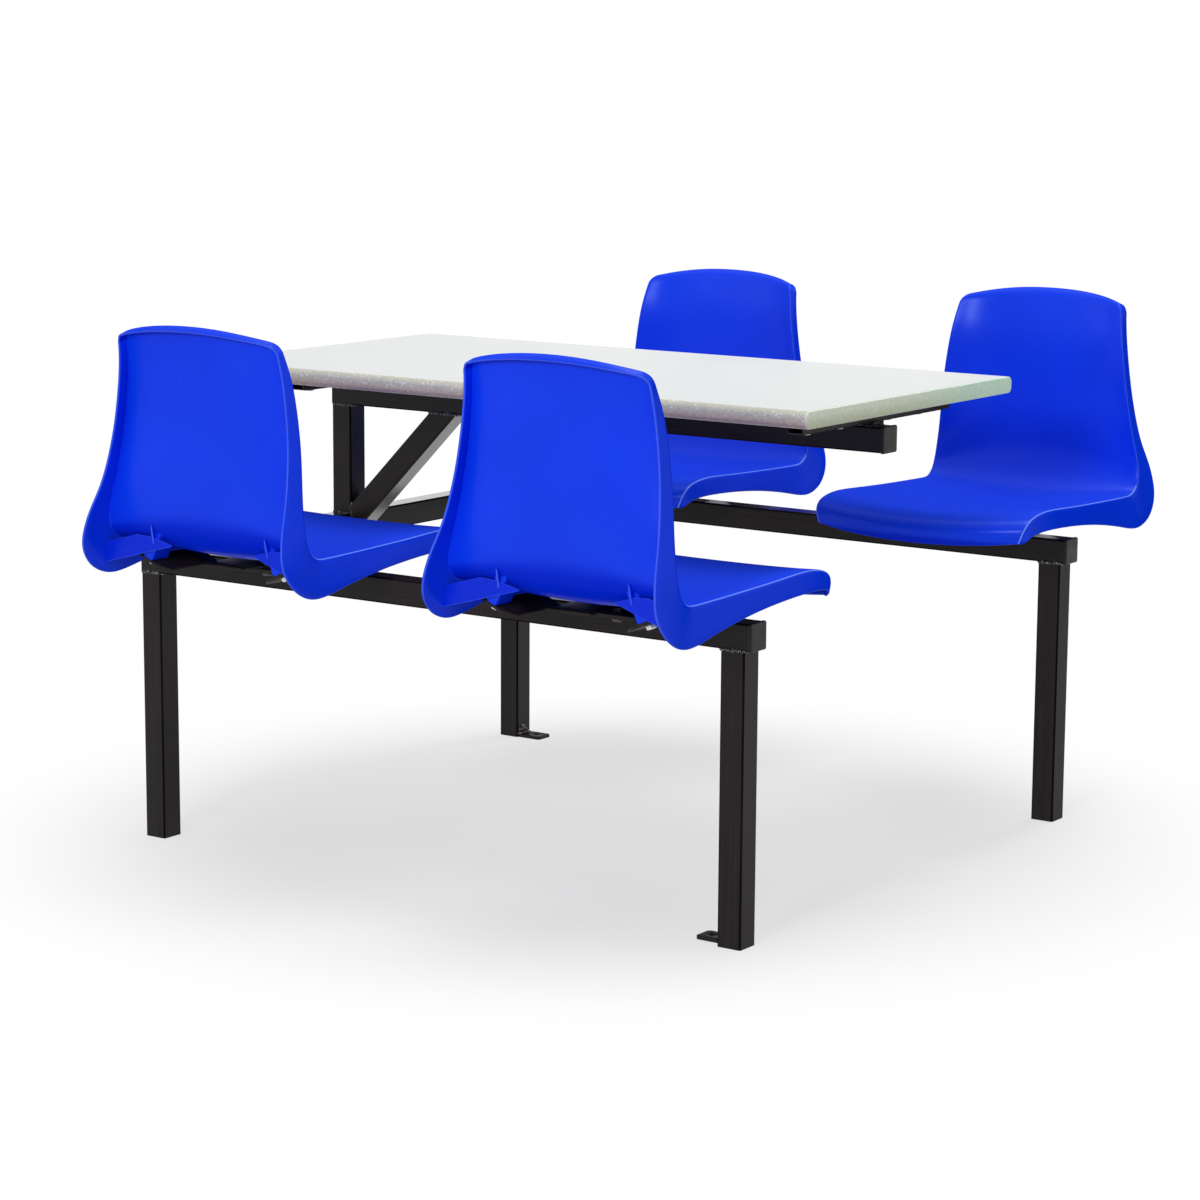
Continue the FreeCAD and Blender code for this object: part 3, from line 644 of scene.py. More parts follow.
# matt melamine sheet with a faint orange peel
face_sheet = grained("face_laminate", (450.0, 5.0), (srgb(219, 224, 221), srgb(225, 227, 225)),
                     (0.4, 0.5), 0.00003, Specular_IOR_Level=0.25)
under_sheet = grained("balancing_sheet", (450.0, 5.0),
                      (srgb(196, 194, 188), srgb(204, 202, 197)), (0.6, 0.7), 0.00003,
                      Specular_IOR_Level=0.25)
dress("table_underside_sheet", under_sheet)

# pebbles: rounded cells, each a little paler or darker than the next
pebble, given, result = shader_group("pebbled_face", {"Cell Scale": 380.0},
                                     ("Height", "Shade"))
spot = add_node(pebble, "ShaderNodeTexCoord").outputs["Object"]
cells = add_node(pebble, "ShaderNodeTexVoronoi",
                 {"Vector": spot, "Scale": given["Cell Scale"]}, feature="SMOOTH_F1")
tone = add_node(pebble, "ShaderNodeSeparateXYZ", {0: cells.outputs["Color"]})
feed(pebble, result, Shade=tone.outputs["X"],
     Height=spread(pebble, cells.outputs["Distance"], 0.05, 0.75, 1.0, 0.0))


def pebbled(name, top_tones, low_tones, far_tones=None):
    """Pebbled edge: two pairs of tones, one above and one below the middle, and one pair
    that takes over toward the far side.  Painted sparkles: the palest cells near the top are
    painted nearly white."""
    material, tree, shader = principled(name, Roughness=0.3)
    cell = placed_group(tree, pebble)
    place = add_node(tree, "ShaderNodeSeparateXYZ",
                     {0: add_node(tree, "ShaderNodeTexCoord").outputs["Object"]}).outputs
    share = spread(tree, place["Z"], *(edge_middle + step for step in tone_band))
    above = blended(tree, cell["Shade"], *top_tones)
    below = blended(tree, cell["Shade"], *low_tones)
    tone = blended(tree, share, below, above)
    if far_tones:
        tone = blended(tree, spread(tree, place["Y"], far_from, top_high.y), tone,
                       blended(tree, cell["Shade"], *far_tones))
    # painted sparkle: the palest cells above the middle are painted nearly white
    sparkle_height_share = spread(tree, place["Z"], *(edge_middle + step for step in sparkle_band))
    painted_sparkle = maths(tree, "MULTIPLY", spread(tree, cell["Shade"], 0.80, 0.90), sparkle_height_share)
    tone = blended(tree, painted_sparkle, tone, srgb(236, 240, 236))
    feed(tree, shader.inputs, Base_Color=tone)
    bumped(tree, shader, cell["Height"], 0.00035)
    return material


top_low, top_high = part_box("table_top_laminate")
edge_middle = (top_low.z + top_high.z) / 2
long_edge = pebbled("long_edge_face", (srgb(186, 186, 168), srgb(206, 204, 188)),
                    (srgb(168, 143, 118), srgb(190, 166, 142)))
end_edge = pebbled("end_edge_face", (srgb(210, 220, 196), srgb(227, 235, 213)),
                   (srgb(178, 185, 155), srgb(196, 202, 173)),
                   (srgb(182, 220, 194), srgb(200, 235, 212)))


def pebbled_out(point, outward):
    """A point of an edge, pushed out by the pebbles' swell."""
    swell = noise.noise(point / pebble_size) * 0.5 + noise.noise(point / pebble_size * 2.1)
    return point + outward * (swell * pebble_depth)


def swept(sections):
    """Points and faces of a solid through a row of closed sections of equal length."""
    count = len(sections[0])
    points = [p for section in sections for p in section]
    faces = []
    for i in range(len(sections) - 1):
        for j in range(count):
            k = (j + 1) % count
            faces.append((i * count + j, i * count + k,
                          (i + 1) * count + k, (i + 1) * count + j))
    faces.append(list(range(count))[::-1])
    faces.append([(len(sections) - 1) * count + j for j in range(count)])
    return points, faces


def facing_out(piece):
    """Faces of a closed mesh turned outwards."""
    shape = bmesh.new()
    shape.from_mesh(piece.data)
    bmesh.ops.recalc_face_normals(shape, faces=shape.faces)
    shape.to_mesh(piece.data)
    shape.free()


def rolled_edge(name, side):
    """Long edge: a rolled strip, one sheet thick, from the face round to the underside."""
    outer = []               # direction and place of each point, from the face downward

    def rounded(first, middle_z):
        """A quarter turn from a first angle, about a height."""
        for k in range(bend_steps + 1):
            a = first - math.pi / 2 * k / bend_steps
            ny, nz = math.cos(a), math.sin(a)
            outer.append(((ny, nz), (top_high.y - edge_round + edge_round * ny,
                                     middle_z + edge_round * nz)))

    flat = top_high.z - top_low.z - 2 * edge_round
    flat_steps = int(flat / edge_step)
    rounded(math.pi / 2, top_high.z - edge_round)
    for k in range(1, flat_steps):
        outer.append(((1, 0), (top_high.y, top_high.z - edge_round - k * flat / flat_steps)))
    rounded(0, top_low.z + edge_round)
    inner = [(py - ny * sheet, pz - nz * sheet) for (ny, nz), (py, pz) in (outer[-1], outer[0])]
    steps = int((top_high.x - top_low.x) / edge_step)
    sections = []
    for k in range(steps + 1):
        x = top_low.x + (top_high.x - top_low.x) * k / steps
        ring = [pebbled_out(Vector((x, side * py, pz)), Vector((0, side * ny, nz)))
                for (ny, nz), (py, pz) in outer]
        ring += [Vector((x, side * py, pz)) for py, pz in inner]
        sections.append(ring)
    piece = new_mesh(name, *swept(sections), long_edge, sharp=50)
    facing_out(piece)
    return piece


def face_panel():
    """The pale face, flat between the rolled edges, with a hair-thin step down to them."""
    y = top_high.y - edge_round
    width, height = face_step
    section = [(-y, 0), (-y, -sheet), (y, -sheet), (y, 0), (y - width, height),
               (-y + width, height)]
    sections = [[Vector((x, py, top_high.z + pz)) for py, pz in section]
                for x in (top_low.x, top_high.x)]
    piece = new_mesh("table_face", *swept(sections), face_sheet, sharp=20)
    facing_out(piece)
    return piece


for piece in (face_panel(), rolled_edge("near_rolled_edge", -1),
              rolled_edge("far_rolled_edge", 1)):
    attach(piece, "root")
    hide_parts("table_top_laminate")


def end_edging(name, node, end):
    """Strip glued to a short end: its profile is the board's, with eased rims."""
    low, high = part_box(node)
    inside, outside = (high.x, low.x) if end < 0 else (low.x, high.x)
    y, z0, z1 = top_high.y, top_low.z, top_high.z

    def outline(shrink):
        """Outline of the end, walked in small steps, drawn in by an amount."""
        radius = edge_round - shrink
        corners = []
        for cy, cz, first in ((y - edge_round, z1 - edge_round, 0),
                              (-y + edge_round, z1 - edge_round, 90),
                              (-y + edge_round, z0 + edge_round, 180),
                              (y - edge_round, z0 + edge_round, 270)):
            for k in range(bend_steps + 1):
                a = math.radians(first + 90 * k / bend_steps)
                corners.append((cy + radius * math.cos(a), cz + radius * math.sin(a)))
        walked = []
        for a, b in zip(corners, corners[1:] + corners[:1]):
            a, b = Vector(a), Vector(b)
            steps = max(1, int((b - a).length / outline_step))
            walked += [a.lerp(b, k / steps) for k in range(steps)]
        return walked

    reach = abs(outside - inside) - strip_ease
    layers = [(0, 0), (reach / 2, 0), (reach, 0)]
    for turn in (22.5, 45, 67.5, 90):
        a = math.radians(turn)
        layers.append((reach + strip_ease * math.sin(a), strip_ease * (1 - math.cos(a))))
    rings = [[Vector((inside + end * depth, p.x, p.y)) for p in outline(shrink)]
             for depth, shrink in layers]
    piece = new_mesh(name, *swept(rings), end_edge, sharp=40)
    facing_out(piece)
    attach(piece, "root")
    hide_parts(node)


end_edging("left_end_edging", "table_left_edging", -1)
end_edging("right_end_edging", "table_right_edging", 1)


# ---------------------------------------------------------------- bearers
# Two folded steel channels under the top, each on a block welded to the table beam, and
# screwed up into the board by four pan head screws.

folded_ease = 0.0005
bead_stand_off = 0.0004      # of a bead in a corner, from the face it lies on
block_end = 0.013            # half length of the bead across each end of a block
block_foot = (0.0155, 0.010)     # along its foot: how far from the middle, half length
block_head = (0.0150, 0.009)     # along its head, under the bearer
screws_from_near, screws_from_far = (0.030, 0.119), (0.076, 0.165)

for node in ("left_bearer", "right_bearer", "bearer_blocks"):
    eased(node + "_steel", node, folded_ease, plate_paint)

lines = []
beam_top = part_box("table_beam")[1].z
for node in ("left_bearer", "right_bearer"):
    low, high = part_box(node)
    x, half_width = (low.x + high.x) / 2, (high.x - low.x) / 2
    for face in (-1, 1):
        lines.append(across((x + face * half_width, 0, beam_top), y_way, reach=block_end))
        lines.append(across((x, face * block_foot[0], beam_top + bead_stand_off), x_way,
                            reach=block_foot[1]))
        lines.append(across((x, face * block_head[0], low.z), x_way, reach=block_head[1]))
laid_beads("bearer_weld_beads", "bearer_welds", lines, bead_paint, 17, radius=0.0021,
           spacing=0.0022)

zinc = grained("zinc_plate", (1600.0, 180.0), (srgb(214, 214, 210), srgb(240, 240, 237)),
               (0.28, 0.42), 0.00003, Metallic=0.35)
# a much darker zinc, for the round washers and for the bolts and nuts through the pads
dark_zinc = grained("dark_zinc_plate", (1600.0, 180.0), (srgb(62, 59, 57), srgb(88, 85, 82)),
                    (0.28, 0.42), 0.00003, Metallic=0.6)

# a fixing: a head with a drawn-in crown on a round shank, along each point's own axis and
# turned about it by chance
straight_side = 0.82         # share of a head's height below its crown
fixing_tree, given, result = nodes_tree("fixings", {
    "Sides": "Int", "Head Radius": "Float", "Head Height": "Float", "Crown": "Float",
    "Shank Radius": "Float", "Shank Length": "Float", "Metal": "Material"})


def drum(tree, sides, radius, top_radius, low, high):
    """A closed drum from one level to another, with its own top radius."""
    depth = maths(tree, "SUBTRACT", high, low)
    body = add_node(tree, "GeometryNodeMeshCone",
                    {"Vertices": sides, "Radius Top": top_radius, "Radius Bottom": radius,
                     "Depth": depth})
    drop = add_node(tree, "ShaderNodeCombineXYZ", {"X": 0.0, "Y": 0.0, "Z": low})
    return add_node(tree, "GeometryNodeTransform",
                    {"Geometry": body.outputs["Mesh"], "Translation": drop.outputs[0]})


head_side = maths(fixing_tree, "MULTIPLY", given["Head Height"], straight_side)
crown = maths(fixing_tree, "MULTIPLY", given["Head Radius"], given["Crown"])
foot = maths(fixing_tree, "MULTIPLY", given["Shank Length"], -1.0)
parts = [drum(fixing_tree, given["Sides"], given["Head Radius"], given["Head Radius"], 0.0,
              head_side),
         drum(fixing_tree, given["Sides"], given["Head Radius"], crown, head_side,
              given["Head Height"]),
         drum(fixing_tree, 20, given["Shank Radius"], given["Shank Radius"], foot, 0.0)]
whole = add_node(fixing_tree, "GeometryNodeJoinGeometry")
for part in parts:
    fixing_tree.links.new(part.outputs[0], whole.inputs[0])
axis = add_node(fixing_tree, "GeometryNodeInputNamedAttribute", {"Name": "axis"},
                data_type="FLOAT_VECTOR")
turn = add_node(fixing_tree, "FunctionNodeAlignRotationToVector",
                {"Vector": axis.outputs[0]}, axis="Z")
twist = add_node(fixing_tree, "FunctionNodeRandomValue", {"Seed": 5}, data_type="FLOAT")
twist.inputs[2].default_value, twist.inputs[3].default_value = 0.0, math.pi
spin = add_node(fixing_tree, "FunctionNodeAxisAngleToRotation",
                {"Axis": (0, 0, 1), "Angle": twist.outputs[1]})
both = add_node(fixing_tree, "FunctionNodeRotateRotation",
                {0: turn.outputs[0], 1: spin.outputs[0]}, rotation_space="LOCAL")
real_copies(fixing_tree, result, given["Metal"], False, Points=given["Geometry"],
            Instance=whole.outputs[0], Rotation=both.outputs[0])


def fixings(name, node, places, metal, **sizes):
    """Like fixings at places given as point and axis, standing for a CAD node."""
    mesh = bpy.data.meshes.new(name + "_places")
    mesh.from_pydata([point for point, _ in places], [], [])
    store = mesh.attributes.new("axis", "FLOAT_VECTOR", "POINT")
    store.data.foreach_set("vector", [c for _, direction in places for c in direction])
    values = {key.replace("_", " "): value for key, value in sizes.items()}
    piece = grown(name, mesh, fixing_tree, {**values, "Metal": metal})
    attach(piece, "root")
    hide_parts(node)


places = []
for node in ("left_bearer", "right_bearer"):
    low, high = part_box(node)
    rows_y = [low.y + step for step in screws_from_near]
    rows_y += [high.y - step for step in screws_from_far]
    places += [(((low.x + high.x) / 2, y, low.z), (0, 0, -1)) for y in rows_y]
fixings("bearer_pan_heads", "bearer_screws", places, zinc, Sides=24, Head_Radius=0.006,
        Head_Height=0.003, Crown=0.55, Shank_Radius=0.0025, Shank_Length=0.034)


# ---------------------------------------------------------------- seat pads and brackets
# A flat pad welded across the rail and a folded bracket bolted to it, its four ears
# turned up to the lugs of the shell.  Laser cut 4 mm plate, painted with the frame.

pad_bead_reach = 0.034
seats = {}                   # each seat's place along the rail and its side, -1 near, 1 far
for name in ("near_left", "near_right", "far_left", "far_right"):
    low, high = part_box(name + "_seat_pad")
    seats[name] = ((low.x + high.x) / 2, -1 if name.startswith("near") else 1)
    eased(name + "_pad_plate", name + "_seat_pad", plate_ease, plate_paint)
    eased(name + "_bracket_plate", name + "_seat_bracket", plate_ease, plate_paint)

lines = []
for x, side in seats.values():
    for face in (-1, 1):
        y = rail_y[side] + face * (tube_half + bead_stand_off)
        lines.append(((x - pad_bead_reach, y, rail_top), (x + pad_bead_reach, y, rail_top)))
laid_beads("pad_weld_beads", "seat_pad_welds", lines, bead_paint, 19, radius=0.0026)


# ---------------------------------------------------------------- seat shells
# One moulded shell per seat in glossy blue plastic: a hollow pan, a tight rear bend and a
# tapering back, with a crisp crease along both sides and a thin skirt outside it.
# All in millimetres: u along the rail and v across it from the pad's middle, h above it.

# each station is a row across the shell, from the front lip to the crown: centre line
# (v, h), crease (u, v, h) and free edge (u, v, h)
stations = (
    ((196, 3), (178, 175, 15), (179, 171, 13)),
    ((205, 20), (184, 175, 31), (186, 167, 18)),
    ((199, 36), (188, 165, 46), (190, 158, 25)),
    ((174, 45), (188.5, 142, 55), (192.5, 136, 29)),
    ((118, 43), (189, 100, 59), (194, 96, 30)),
    ((40, 35), (189, 30, 56), (194, 28, 27)),
    ((-40, 28), (188, -50, 53), (194, -48, 20)),
    ((-115, 28), (188, -120, 51), (194, -124, 8)),
    ((-150, 33), (187.5, -158, 50), (194.5, -168, -1)),
    ((-174, 45), (187.5, -179, 50), (194.5, -202, -3)),
    ((-191, 62), (188.5, -192, 55), (195, -231, 7)),
    ((-203, 84), (188.5, -202, 66), (193, -252, 26)),
    ((-212, 110), (187, -207, 88), (189, -262, 53)),
    ((-216.5, 140), (182.5, -205, 115), (182.5, -253, 93)),
    ((-218, 172), (177, -200, 145), (174, -233, 137)),
    ((-216, 232), (168, -192, 213), (165, -217, 210)),
    ((-218, 300), (157, -193, 288), (156, -214, 285)),
    ((-226, 344), (149.5, -202, 328), (151, -218, 325)),
    ((-229, 357), (146, -206, 342), (150, -220, 335)),
    ((-234, 365), (141, -211, 349), (147.5, -222, 341)),
    ((-240, 368), (137, -217, 352), (144, -225, 345)),
    ((-244, 366.5), (135.5, -221, 351.5), (141.5, -226.5, 346.8)),
    ((-246.5, 364), (133.5, -225, 350.8), (139, -227.5, 348)),
    ((-248, 361), (131.5, -229, 349.8), (136.5, -228.5, 348.8)),
)
rows_per_station = 2
row_stops = (0, 0.17, 0.34, 0.5, 0.64, 0.76, 0.87)    # from the centre line to the crease
hollow_power = 2.2           # how late a row climbs to its crease
back_power, back_from, back_over = 1.3, 100, 80    # more for the flat back, and where in h
shell_wall = 3.6
crease_round = 5.0
crease_cut, skirt_cut = 0.5, 0.25    # of a short row or skirt, at most
skirt_second = 2.2           # the skirt's second point lies this many times as far out
row_detail, column_detail = 3, 4     # mesh rows and columns between two poles
rim_turns = (0.2, 0.4, 0.6, 0.8)     # points round the rim, as shares of a half turn

blue_deep, blue_clear = srgb(6, 55, 230), srgb(11, 60, 240)
# painted light on what looks up; painted shade on what looks down and between a rib's edges
blue_painted_light, blue_painted_shade = srgb(38, 74, 238), srgb(4, 38, 212)
blue_painted_highlight = srgb(128, 164, 255)    # painted highlight along the crease, the free edge and a rib's edges
crease_columns = ((12, 13), (76, 75))    # of the drawn surface, each with its inner neighbour
# shares of painted highlight on the crease and on the free edge
crease_painted_highlight, rim_painted_highlight = 0.28, 0.18
pan_crease_painted_highlight = (0.85, 62.0)            # painted highlight along the pan's crease, up to this height
# at each point of a rib's section: painted highlight on its edges, -1 for painted shade between
# them
rib_painted_light_and_shade = (0.2, 0.2, 0.2, -1, -1, 0.15, 0.15, -1, -1, 0.2)


def row_across(station):
    """Right half of one row: hollow centre, rounded crease, skirt to the free edge."""
    (cv, ch), crease, edge = station
    centre = np.array((0, cv, ch), float)
    crease, edge = np.array(crease, float), np.array(edge, float)
    power = hollow_power + back_power * min(max((ch - back_from) / back_over, 0), 1)
    points = [centre + (crease - centre) * (step, step ** power, step ** hollow_power)
              for step in row_stops]
    inward, outward = points[-1] - crease, edge - crease
    near = crease + inward * min(crease_round / np.linalg.norm(inward), crease_cut)
    share = min(crease_round / np.linalg.norm(outward), skirt_cut)
    far, beyond = crease + outward * share, crease + outward * skirt_second * share
    middle = (near + far) * 0.25 + crease * 0.5
    return points + [near, middle, far, beyond, (beyond + edge) * 0.5, edge]


def between(rows, i, share):
    """Row on the smooth curve through the stations, past row i by a share."""
    before, here = rows[max(i - 1, 0)], rows[i]
    there, after = rows[i + 1], rows[min(i + 2, len(rows) - 1)]
    return (here * 2 + (there - before) * share
            + (before * 2 - here * 5 + there * 4 - after) * share ** 2
            + (here * 3 - before - there * 3 + after) * share ** 3) * 0.5


def spline_weights(count, detail):
    """What each pole adds at each point of an evenly spaced cubic with clamped ends."""
    knots = np.concatenate([np.zeros(3), np.arange(count - 2), np.full(3, count - 3)])
    at = np.linspace(0, count - 3, (count - 3) * detail + 1)[:, None]
    weights = ((knots[:-1] <= at) & (at < knots[1:])).astype(float)
    weights[-1, count - 1] = 1
    for degree in (1, 2, 3):
        n = len(knots) - 1 - degree
        past = knots[degree + 1:degree + 1 + n]
        climb, fall = knots[degree:degree + n] - knots[:n], past - knots[1:1 + n]
        first = np.where(climb > 0, (at - knots[:n]) / np.where(climb > 0, climb, 1), 0)
        second = np.where(fall > 0, (past - at) / np.where(fall > 0, fall, 1), 0)
        weights = first * weights[:, :n] + second * weights[:, 1:n + 1]
    return weights


def drawn_surface(poles):
    """Points of the smooth cubic surface drawn by a grid of poles."""
    rows = spline_weights(poles.shape[0], row_detail)
    columns = spline_weights(poles.shape[1], column_detail)
    return np.einsum("ri,ijk,cj->rck", rows, poles, columns)


half_rows = np.array([row_across(station) for station in stations])
poles = []
for step in range((len(stations) - 1) * rows_per_station + 1):
    i = min(step // rows_per_station, len(stations) - 2)
    half_row = between(half_rows, i, step / rows_per_station - i)
    poles.append(np.concatenate([half_row[:0:-1] * (-1, 1, 1), half_row]))
poles = np.array(poles)
inward = np.cross(np.gradient(poles, axis=1), np.gradient(poles, axis=0))
inward /= np.linalg.norm(inward, axis=2)[:, :, None]
upper = drawn_surface(poles)
lower = drawn_surface(poles + inward * shell_wall)

rows, columns = upper.shape[:2]
under = rows * columns               # where the under side's points begin
shell_points = [tuple(p) for surface in (upper, lower) for p in surface.reshape(-1, 3)]
patches = [(i * columns + j, (i + 1) * columns + j)
           for i in range(rows - 1) for j in range(columns - 1)]
under_side = BVHTree.FromPolygons(shell_points[under:],
                                  [(a, a + 1, b + 1, b) for a, b in patches])
shell_faces = []
for a, b in patches:
    shell_faces.append((a, b, b + 1, a + 1))
    shell_faces.append((under + a, under + a + 1, under + b + 1, under + b))

# the free edge all round, rounded over from the upper side to the under side
border = [(0, j) for j in range(columns - 1)]
border += [(i, columns - 1) for i in range(rows - 1)]
border += [(rows - 1, j) for j in range(columns - 1, 0, -1)]
border += [(i, 0) for i in range(rows - 1, 0, -1)]
rim = []
for i, j in border:
    top, low = upper[i, j], lower[i, j]
    wall = (low - top) / np.linalg.norm(low - top)
    out = top - upper[min(max(i, 1), rows - 2), min(max(j, 1), columns - 2)]
    out -= wall * np.dot(out, wall)
    out /= np.linalg.norm(out)
    middle, half_wall = (top + low) / 2, np.linalg.norm(low - top) / 2
    column = [i * columns + j]
    for share in rim_turns:
        a = math.pi * share
        column.append(len(shell_points))
        shell_points.append(tuple(middle + half_wall * (out * math.sin(a) - wall * math.cos(a))))
    rim.append(column + [under + i * columns + j])
for first, second in zip(rim, rim[1:] + rim[:1]):
    for k in range(len(first) - 1):
        shell_faces.append((first[k], second[k], second[k + 1], first[k + 1]))

# lugs and ribs: moulded under the pan, a lug on each ear of the bracket and thin ribs
# that tie the lugs to the shell
fold_u, bracket_high = 90.0, 8.0     # where the ears begin, and the top of the bracket
fold = math.radians(24)      # slope of the ears
bolt_on_ear = 36.0           # up an ear, from where it begins
bolt_rows = (-180.0, 143.0)
lug_half = 9.0               # of a lug, up and down the slope of the ear
lug_ease, lug_steps = 1.6, 12
rear_lug, front_lug = (-196.0, -161.0), (124.0, 159.0)
rib_half, rib_lip, rib_step = 1.3, 1.6, 4.0
narrow, half_lip = 0.6, 0.4  # shares of a rib's half thickness and of its lip, at its edges
lug_rise, rib_rise = 6.0, 2.0    # where no shell is overhead
sink = 1.5                   # how far a rib or lug runs into the shell's wall
slope_along = Vector((math.cos(fold), 0, math.sin(fold)))
slope_out = Vector((-math.sin(fold), 0, math.cos(fold)))


def to_shell(start, direction):
    """Distance from a point to the under side of the shell, or None."""
    return under_side.ray_cast(start, direction)[3]


def lug(start, end):
    """Block on the slope of the ear from one v to another, up into the shell."""
    sections = []
    between_ends = [start + (end - start) * k / lug_steps for k in range(1, lug_steps)]
    for v in [start, start + lug_ease] + between_ends + [end - lug_ease, end]:
        half = lug_half - (lug_ease * narrow if v in (start, end) else 0.0)
        foot = Vector((fold_u, v, bracket_high)) + slope_along * bolt_on_ear
        section = []
        for across_slope, rise in ((-half + lug_ease, 0), (half - lug_ease, 0),
                                   (half, lug_ease)):
            section.append(foot + slope_along * across_slope + slope_out * rise)
        for across_slope in (half, -half):
            low = foot + slope_along * across_slope + slope_out * lug_ease
            section.append(low + slope_out * ((to_shell(low, slope_out) or lug_rise) + sink))
        section.append(foot - slope_along * half + slope_out * lug_ease)
        sections.append(section)
    return swept(sections)


def rib(*line):
    """Thin plate up into the shell from its free lower edge, which is given by points
    (u, v, h, greatest rise)."""
    upward = Vector(z_way)
    points = [Vector(p) for p in line]
    walked = []
    for a, b in zip(points, points[1:]):
        steps = max(2, int((b - a).to_3d().length / rib_step))
        walked += [a.lerp(b, k / steps) for k in range(steps)]
    walked.append(points[-1])
    sections = []
    for k, point in enumerate(walked):
        low = point.to_3d()
        way = (walked[min(k + 1, len(walked) - 1)] - walked[max(k - 1, 0)]).to_3d()
        side = Vector((way.y, -way.x, 0)).normalized()
        rise = min((to_shell(low, upward) or rib_rise) + sink, point.w)
        top = low + upward * rise
        half, lip = side * rib_half, upward * min(rib_lip, rise * half_lip)
        sections.append([low - half * narrow, low + half * narrow,
                         low + half + lip * half_lip, low + half + lip,
                         top + half - lip * narrow, top + half,
                         top - half, top - half - lip * narrow,
                         low - half + lip, low - half + lip * half_lip])
    return swept(sections)


def joined(shapes):
    """Points and faces of several shapes as one."""
    points, faces = [], []
    for more_points, more_faces in shapes:
        faces += [tuple(index + len(points) for index in face) for face in more_faces]
        points += more_points
    return points, faces


def mirrored(shape):
    """The shape on the other hand of the seat."""
    points, faces = shape
    return [Vector((-p[0], p[1], p[2])) for p in points], [face[::-1] for face in faces]


lugs = [lug(*rear_lug), lug(*front_lug)]
ribs = [rib((78, -193, 43, 1.5), (112, -199, 34, 21), (137, -203, 27, 30),
            (192, -212, 12, 29)),
        rib((108, -197, 34, 60), (107, -205, 70, 60)),
        rib((113, -184, 31, 60), (113, -120, 28, 60)),
        rib((132, 158, 27, 60), (182, 166, 27, 60)),
        rib((128, 124, 27, 60), (188, 118, 30, 60))]
fittings = [shape for part in lugs + ribs for shape in (part, mirrored(part))]
seat_points, seat_faces = joined([(shell_points, shell_faces)] + fittings)


def on_rail(point, x, side):
    """A point (u, v, h) of a seat, in place on its rail; the far seats are turned about."""
    turn = -side
    return Vector((x + turn * point[0] / 1000, rail_y[side] + turn * point[1] / 1000,
                   rail_top + point[2] / 1000))


# the plastic: its sheen fades at a slant and underneath, and its blue carries painted
# light and shade: paler on what looks up and deeper on what looks down
sheen_tint = (0.45, 0.62, 1.0, 1)
sheen, sheen_fade = 0.25, (0.15, 0.54)    # seen square on, and the slants where it fades
sheen_below = 0.3            # share of it on what looks down
edge_sheen, edge_fade = 0.012, (0.62, 0.95)    # a last glint under the rim
faces_up, faces_down = (0.3, 0.9), (-0.50, -0.27)    # Z of the normal
shade_share = 0.9            # of the painted shade blue, where the painted shade is full

blue_plastic, tree, shader = principled("blue_plastic", Specular_Tint=sheen_tint)
slant = add_node(tree, "ShaderNodeLayerWeight").outputs["Facing"]
normal_z = normal_parts(tree)["Z"]
looks_down = spread(tree, normal_z, *faces_down, 1.0, 0.0)
main_sheen = maths(tree, "MULTIPLY", spread(tree, slant, *sheen_fade, sheen, 0.0),
                   spread(tree, looks_down, 0, 1, 1.0, sheen_below))
rim_sheen = maths(tree, "MULTIPLY", spread(tree, slant, *edge_fade, 0.0, edge_sheen),
                  looks_down)
skin = placed_group(tree, grain, Grain_Scale=1100.0)
# painted light stored on the mesh: above 0 a painted highlight, below 0 painted shade
painted_highlight_and_shade = add_node(tree, "ShaderNodeAttribute", attribute_name="painted_highlight_and_shade").outputs["Fac"]
blue = blended(tree, spread(tree, noise_at(tree, 7.0, 1.0), 0.2, 0.8), blue_deep, blue_clear)
# painted light: paler where the surface looks up
blue = blended(tree, spread(tree, normal_z, *faces_up), blue, blue_painted_light)
# painted shade: deeper where the surface looks down, and between a rib's edges
painted_shade = maths(tree, "MAXIMUM", looks_down, maths(tree, "MULTIPLY", painted_highlight_and_shade, -1.0))
painted_shade = maths(tree, "MULTIPLY", painted_shade, shade_share, clamp=True)
blue = blended(tree, painted_shade, blue, blue_painted_shade)
# painted highlight on the creases, the free edge and the rib edges
painted_highlight = maths(tree, "MAXIMUM", painted_highlight_and_shade, 0.0, clamp=True)
feed(tree, shader.inputs, Base_Color=blended(tree, painted_highlight, blue, blue_painted_highlight),
     Specular_IOR_Level=maths(tree, "ADD", main_sheen, rim_sheen),
     Roughness=spread(tree, skin["Height"], 0.2, 0.8, 0.24, 0.32))
bumped(tree, shader, skin["Height"], 0.00003)
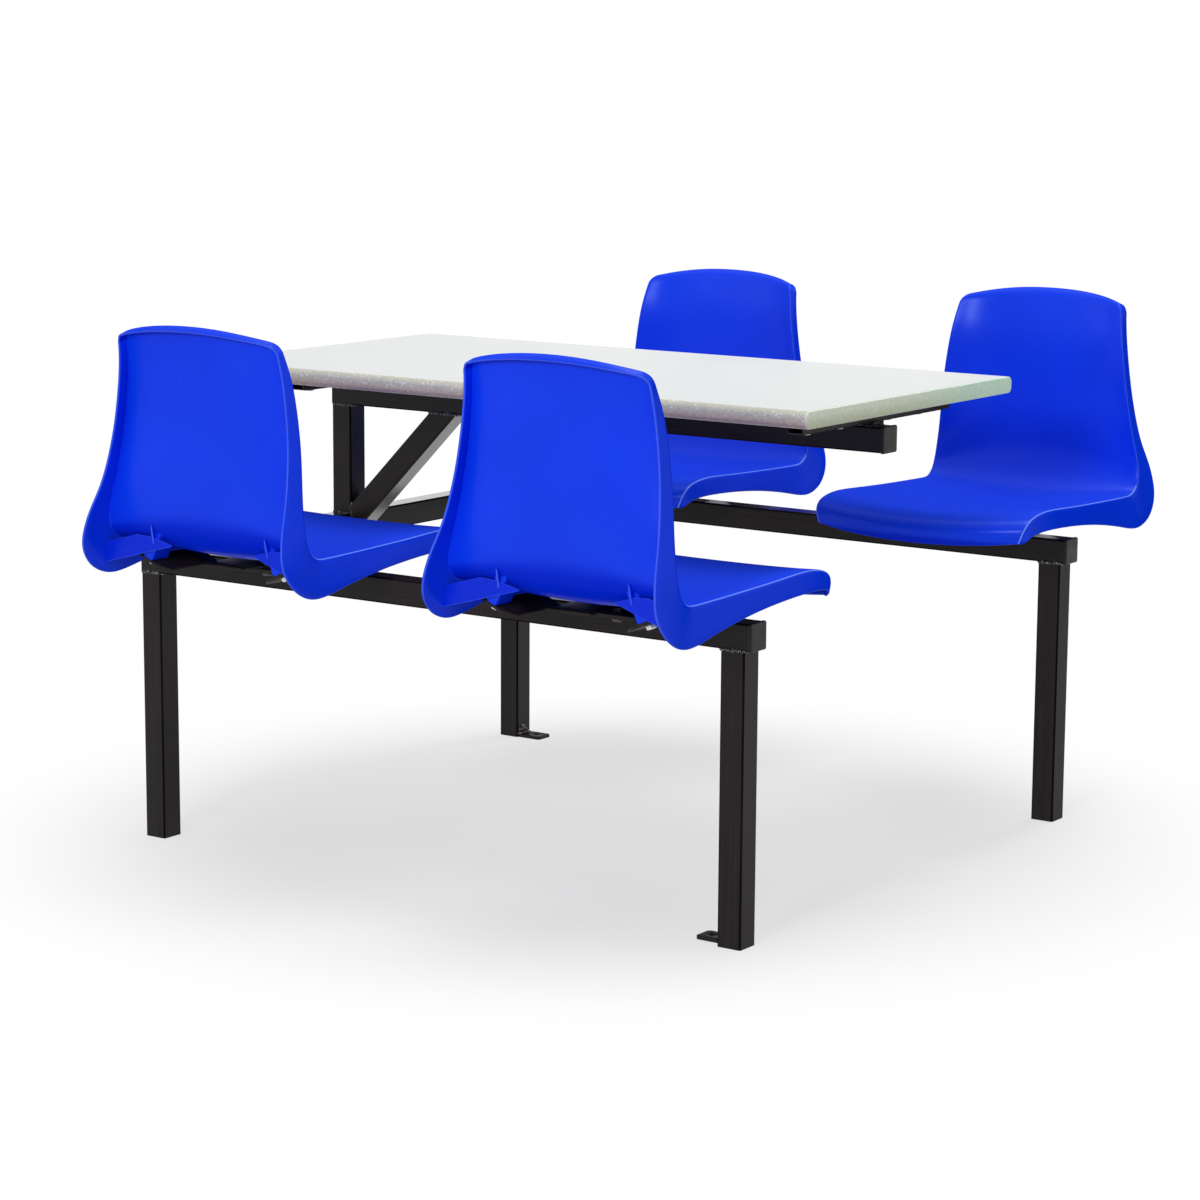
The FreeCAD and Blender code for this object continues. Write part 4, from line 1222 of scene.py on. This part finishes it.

# painted highlight and painted shade at each point of a seat
painted_light_at_points = np.zeros(len(seat_points))
pan_share, pan_high = pan_crease_painted_highlight
for i in range(rows):
    for j, inner in crease_columns:
        on_pan = upper[i, j][2] < pan_high
        painted_light_at_points[i * columns + j] = pan_share if on_pan else crease_painted_highlight
        painted_light_at_points[i * columns + inner] = pan_share if on_pan else 0
painted_light_at_points[2 * under:len(shell_points)] = rim_painted_highlight
ribs_begin = len(shell_points) + 2 * sum(len(points) for points, faces in lugs)
painted_light_at_points[ribs_begin:] = np.resize(rib_painted_light_and_shade, len(seat_points) - ribs_begin)
for name, (x, side) in seats.items():
    piece = new_mesh(name + "_shell", [on_rail(p, x, side) for p in seat_points], seat_faces,
                     blue_plastic, sharp=40)
    piece.data.attributes.new("painted_highlight_and_shade", "FLOAT", "POINT").data.foreach_set("value", painted_light_at_points)
    facing_out(piece)
    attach(piece, "root")
    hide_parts(name + "_seat_shell")


# ---------------------------------------------------------------- seat fixings
# Zinc plated hex bolts: four up through the ears of each bracket into the lugs, on
# round washers, and two through bracket and pad with a nut below.

plate, washer_thickness = 4.0, 1.6
pad_bolt_v = 75.0
hexagon = {"Sides": 6, "Head_Radius": 0.013 / math.sqrt(3), "Crown": 0.82,
           "Shank_Radius": 0.004}    # 13 mm across the flats
ear_bolts, ear_washers, flat_bolts, flat_nuts = [], [], [], []
for x, side in seats.values():
    for v in bolt_rows:
        for hand in (-1, 1):
            axis = Vector((hand * slope_out.x, 0, slope_out.z))
            top = Vector((hand * (fold_u + slope_along.x * bolt_on_ear), v,
                          bracket_high + slope_along.z * bolt_on_ear))
            down = Vector((-axis.x * -side, 0, -axis.z))
            below = top - axis * plate
            ear_washers.append((on_rail(below, x, side), down))
            ear_bolts.append((on_rail(below - axis * washer_thickness, x, side), down))
    for v in (-pad_bolt_v, pad_bolt_v):
        flat_bolts.append((on_rail((0, v, bracket_high), x, side), z_way))
        flat_nuts.append((on_rail((0, v, 0), x, side), (0, 0, -1)))

fixings("seat_hex_bolts", "seat_bolts", ear_bolts, zinc, **hexagon, Head_Height=0.0053,
        Shank_Length=0.0196)
fixings("seat_round_washers", "seat_washers", ear_washers, dark_zinc, Sides=40,
        Head_Radius=0.009, Head_Height=washer_thickness / 1000, Crown=0.97,
        Shank_Radius=0.004, Shank_Length=0.001)
fixings("pad_hex_bolts", "pad_bolts", flat_bolts, dark_zinc, **hexagon, Head_Height=0.0053,
        Shank_Length=0.0145)
fixings("pad_hex_nuts", "pad_nuts", flat_nuts, dark_zinc, **hexagon, Head_Height=0.0065,
        Shank_Length=0.001)
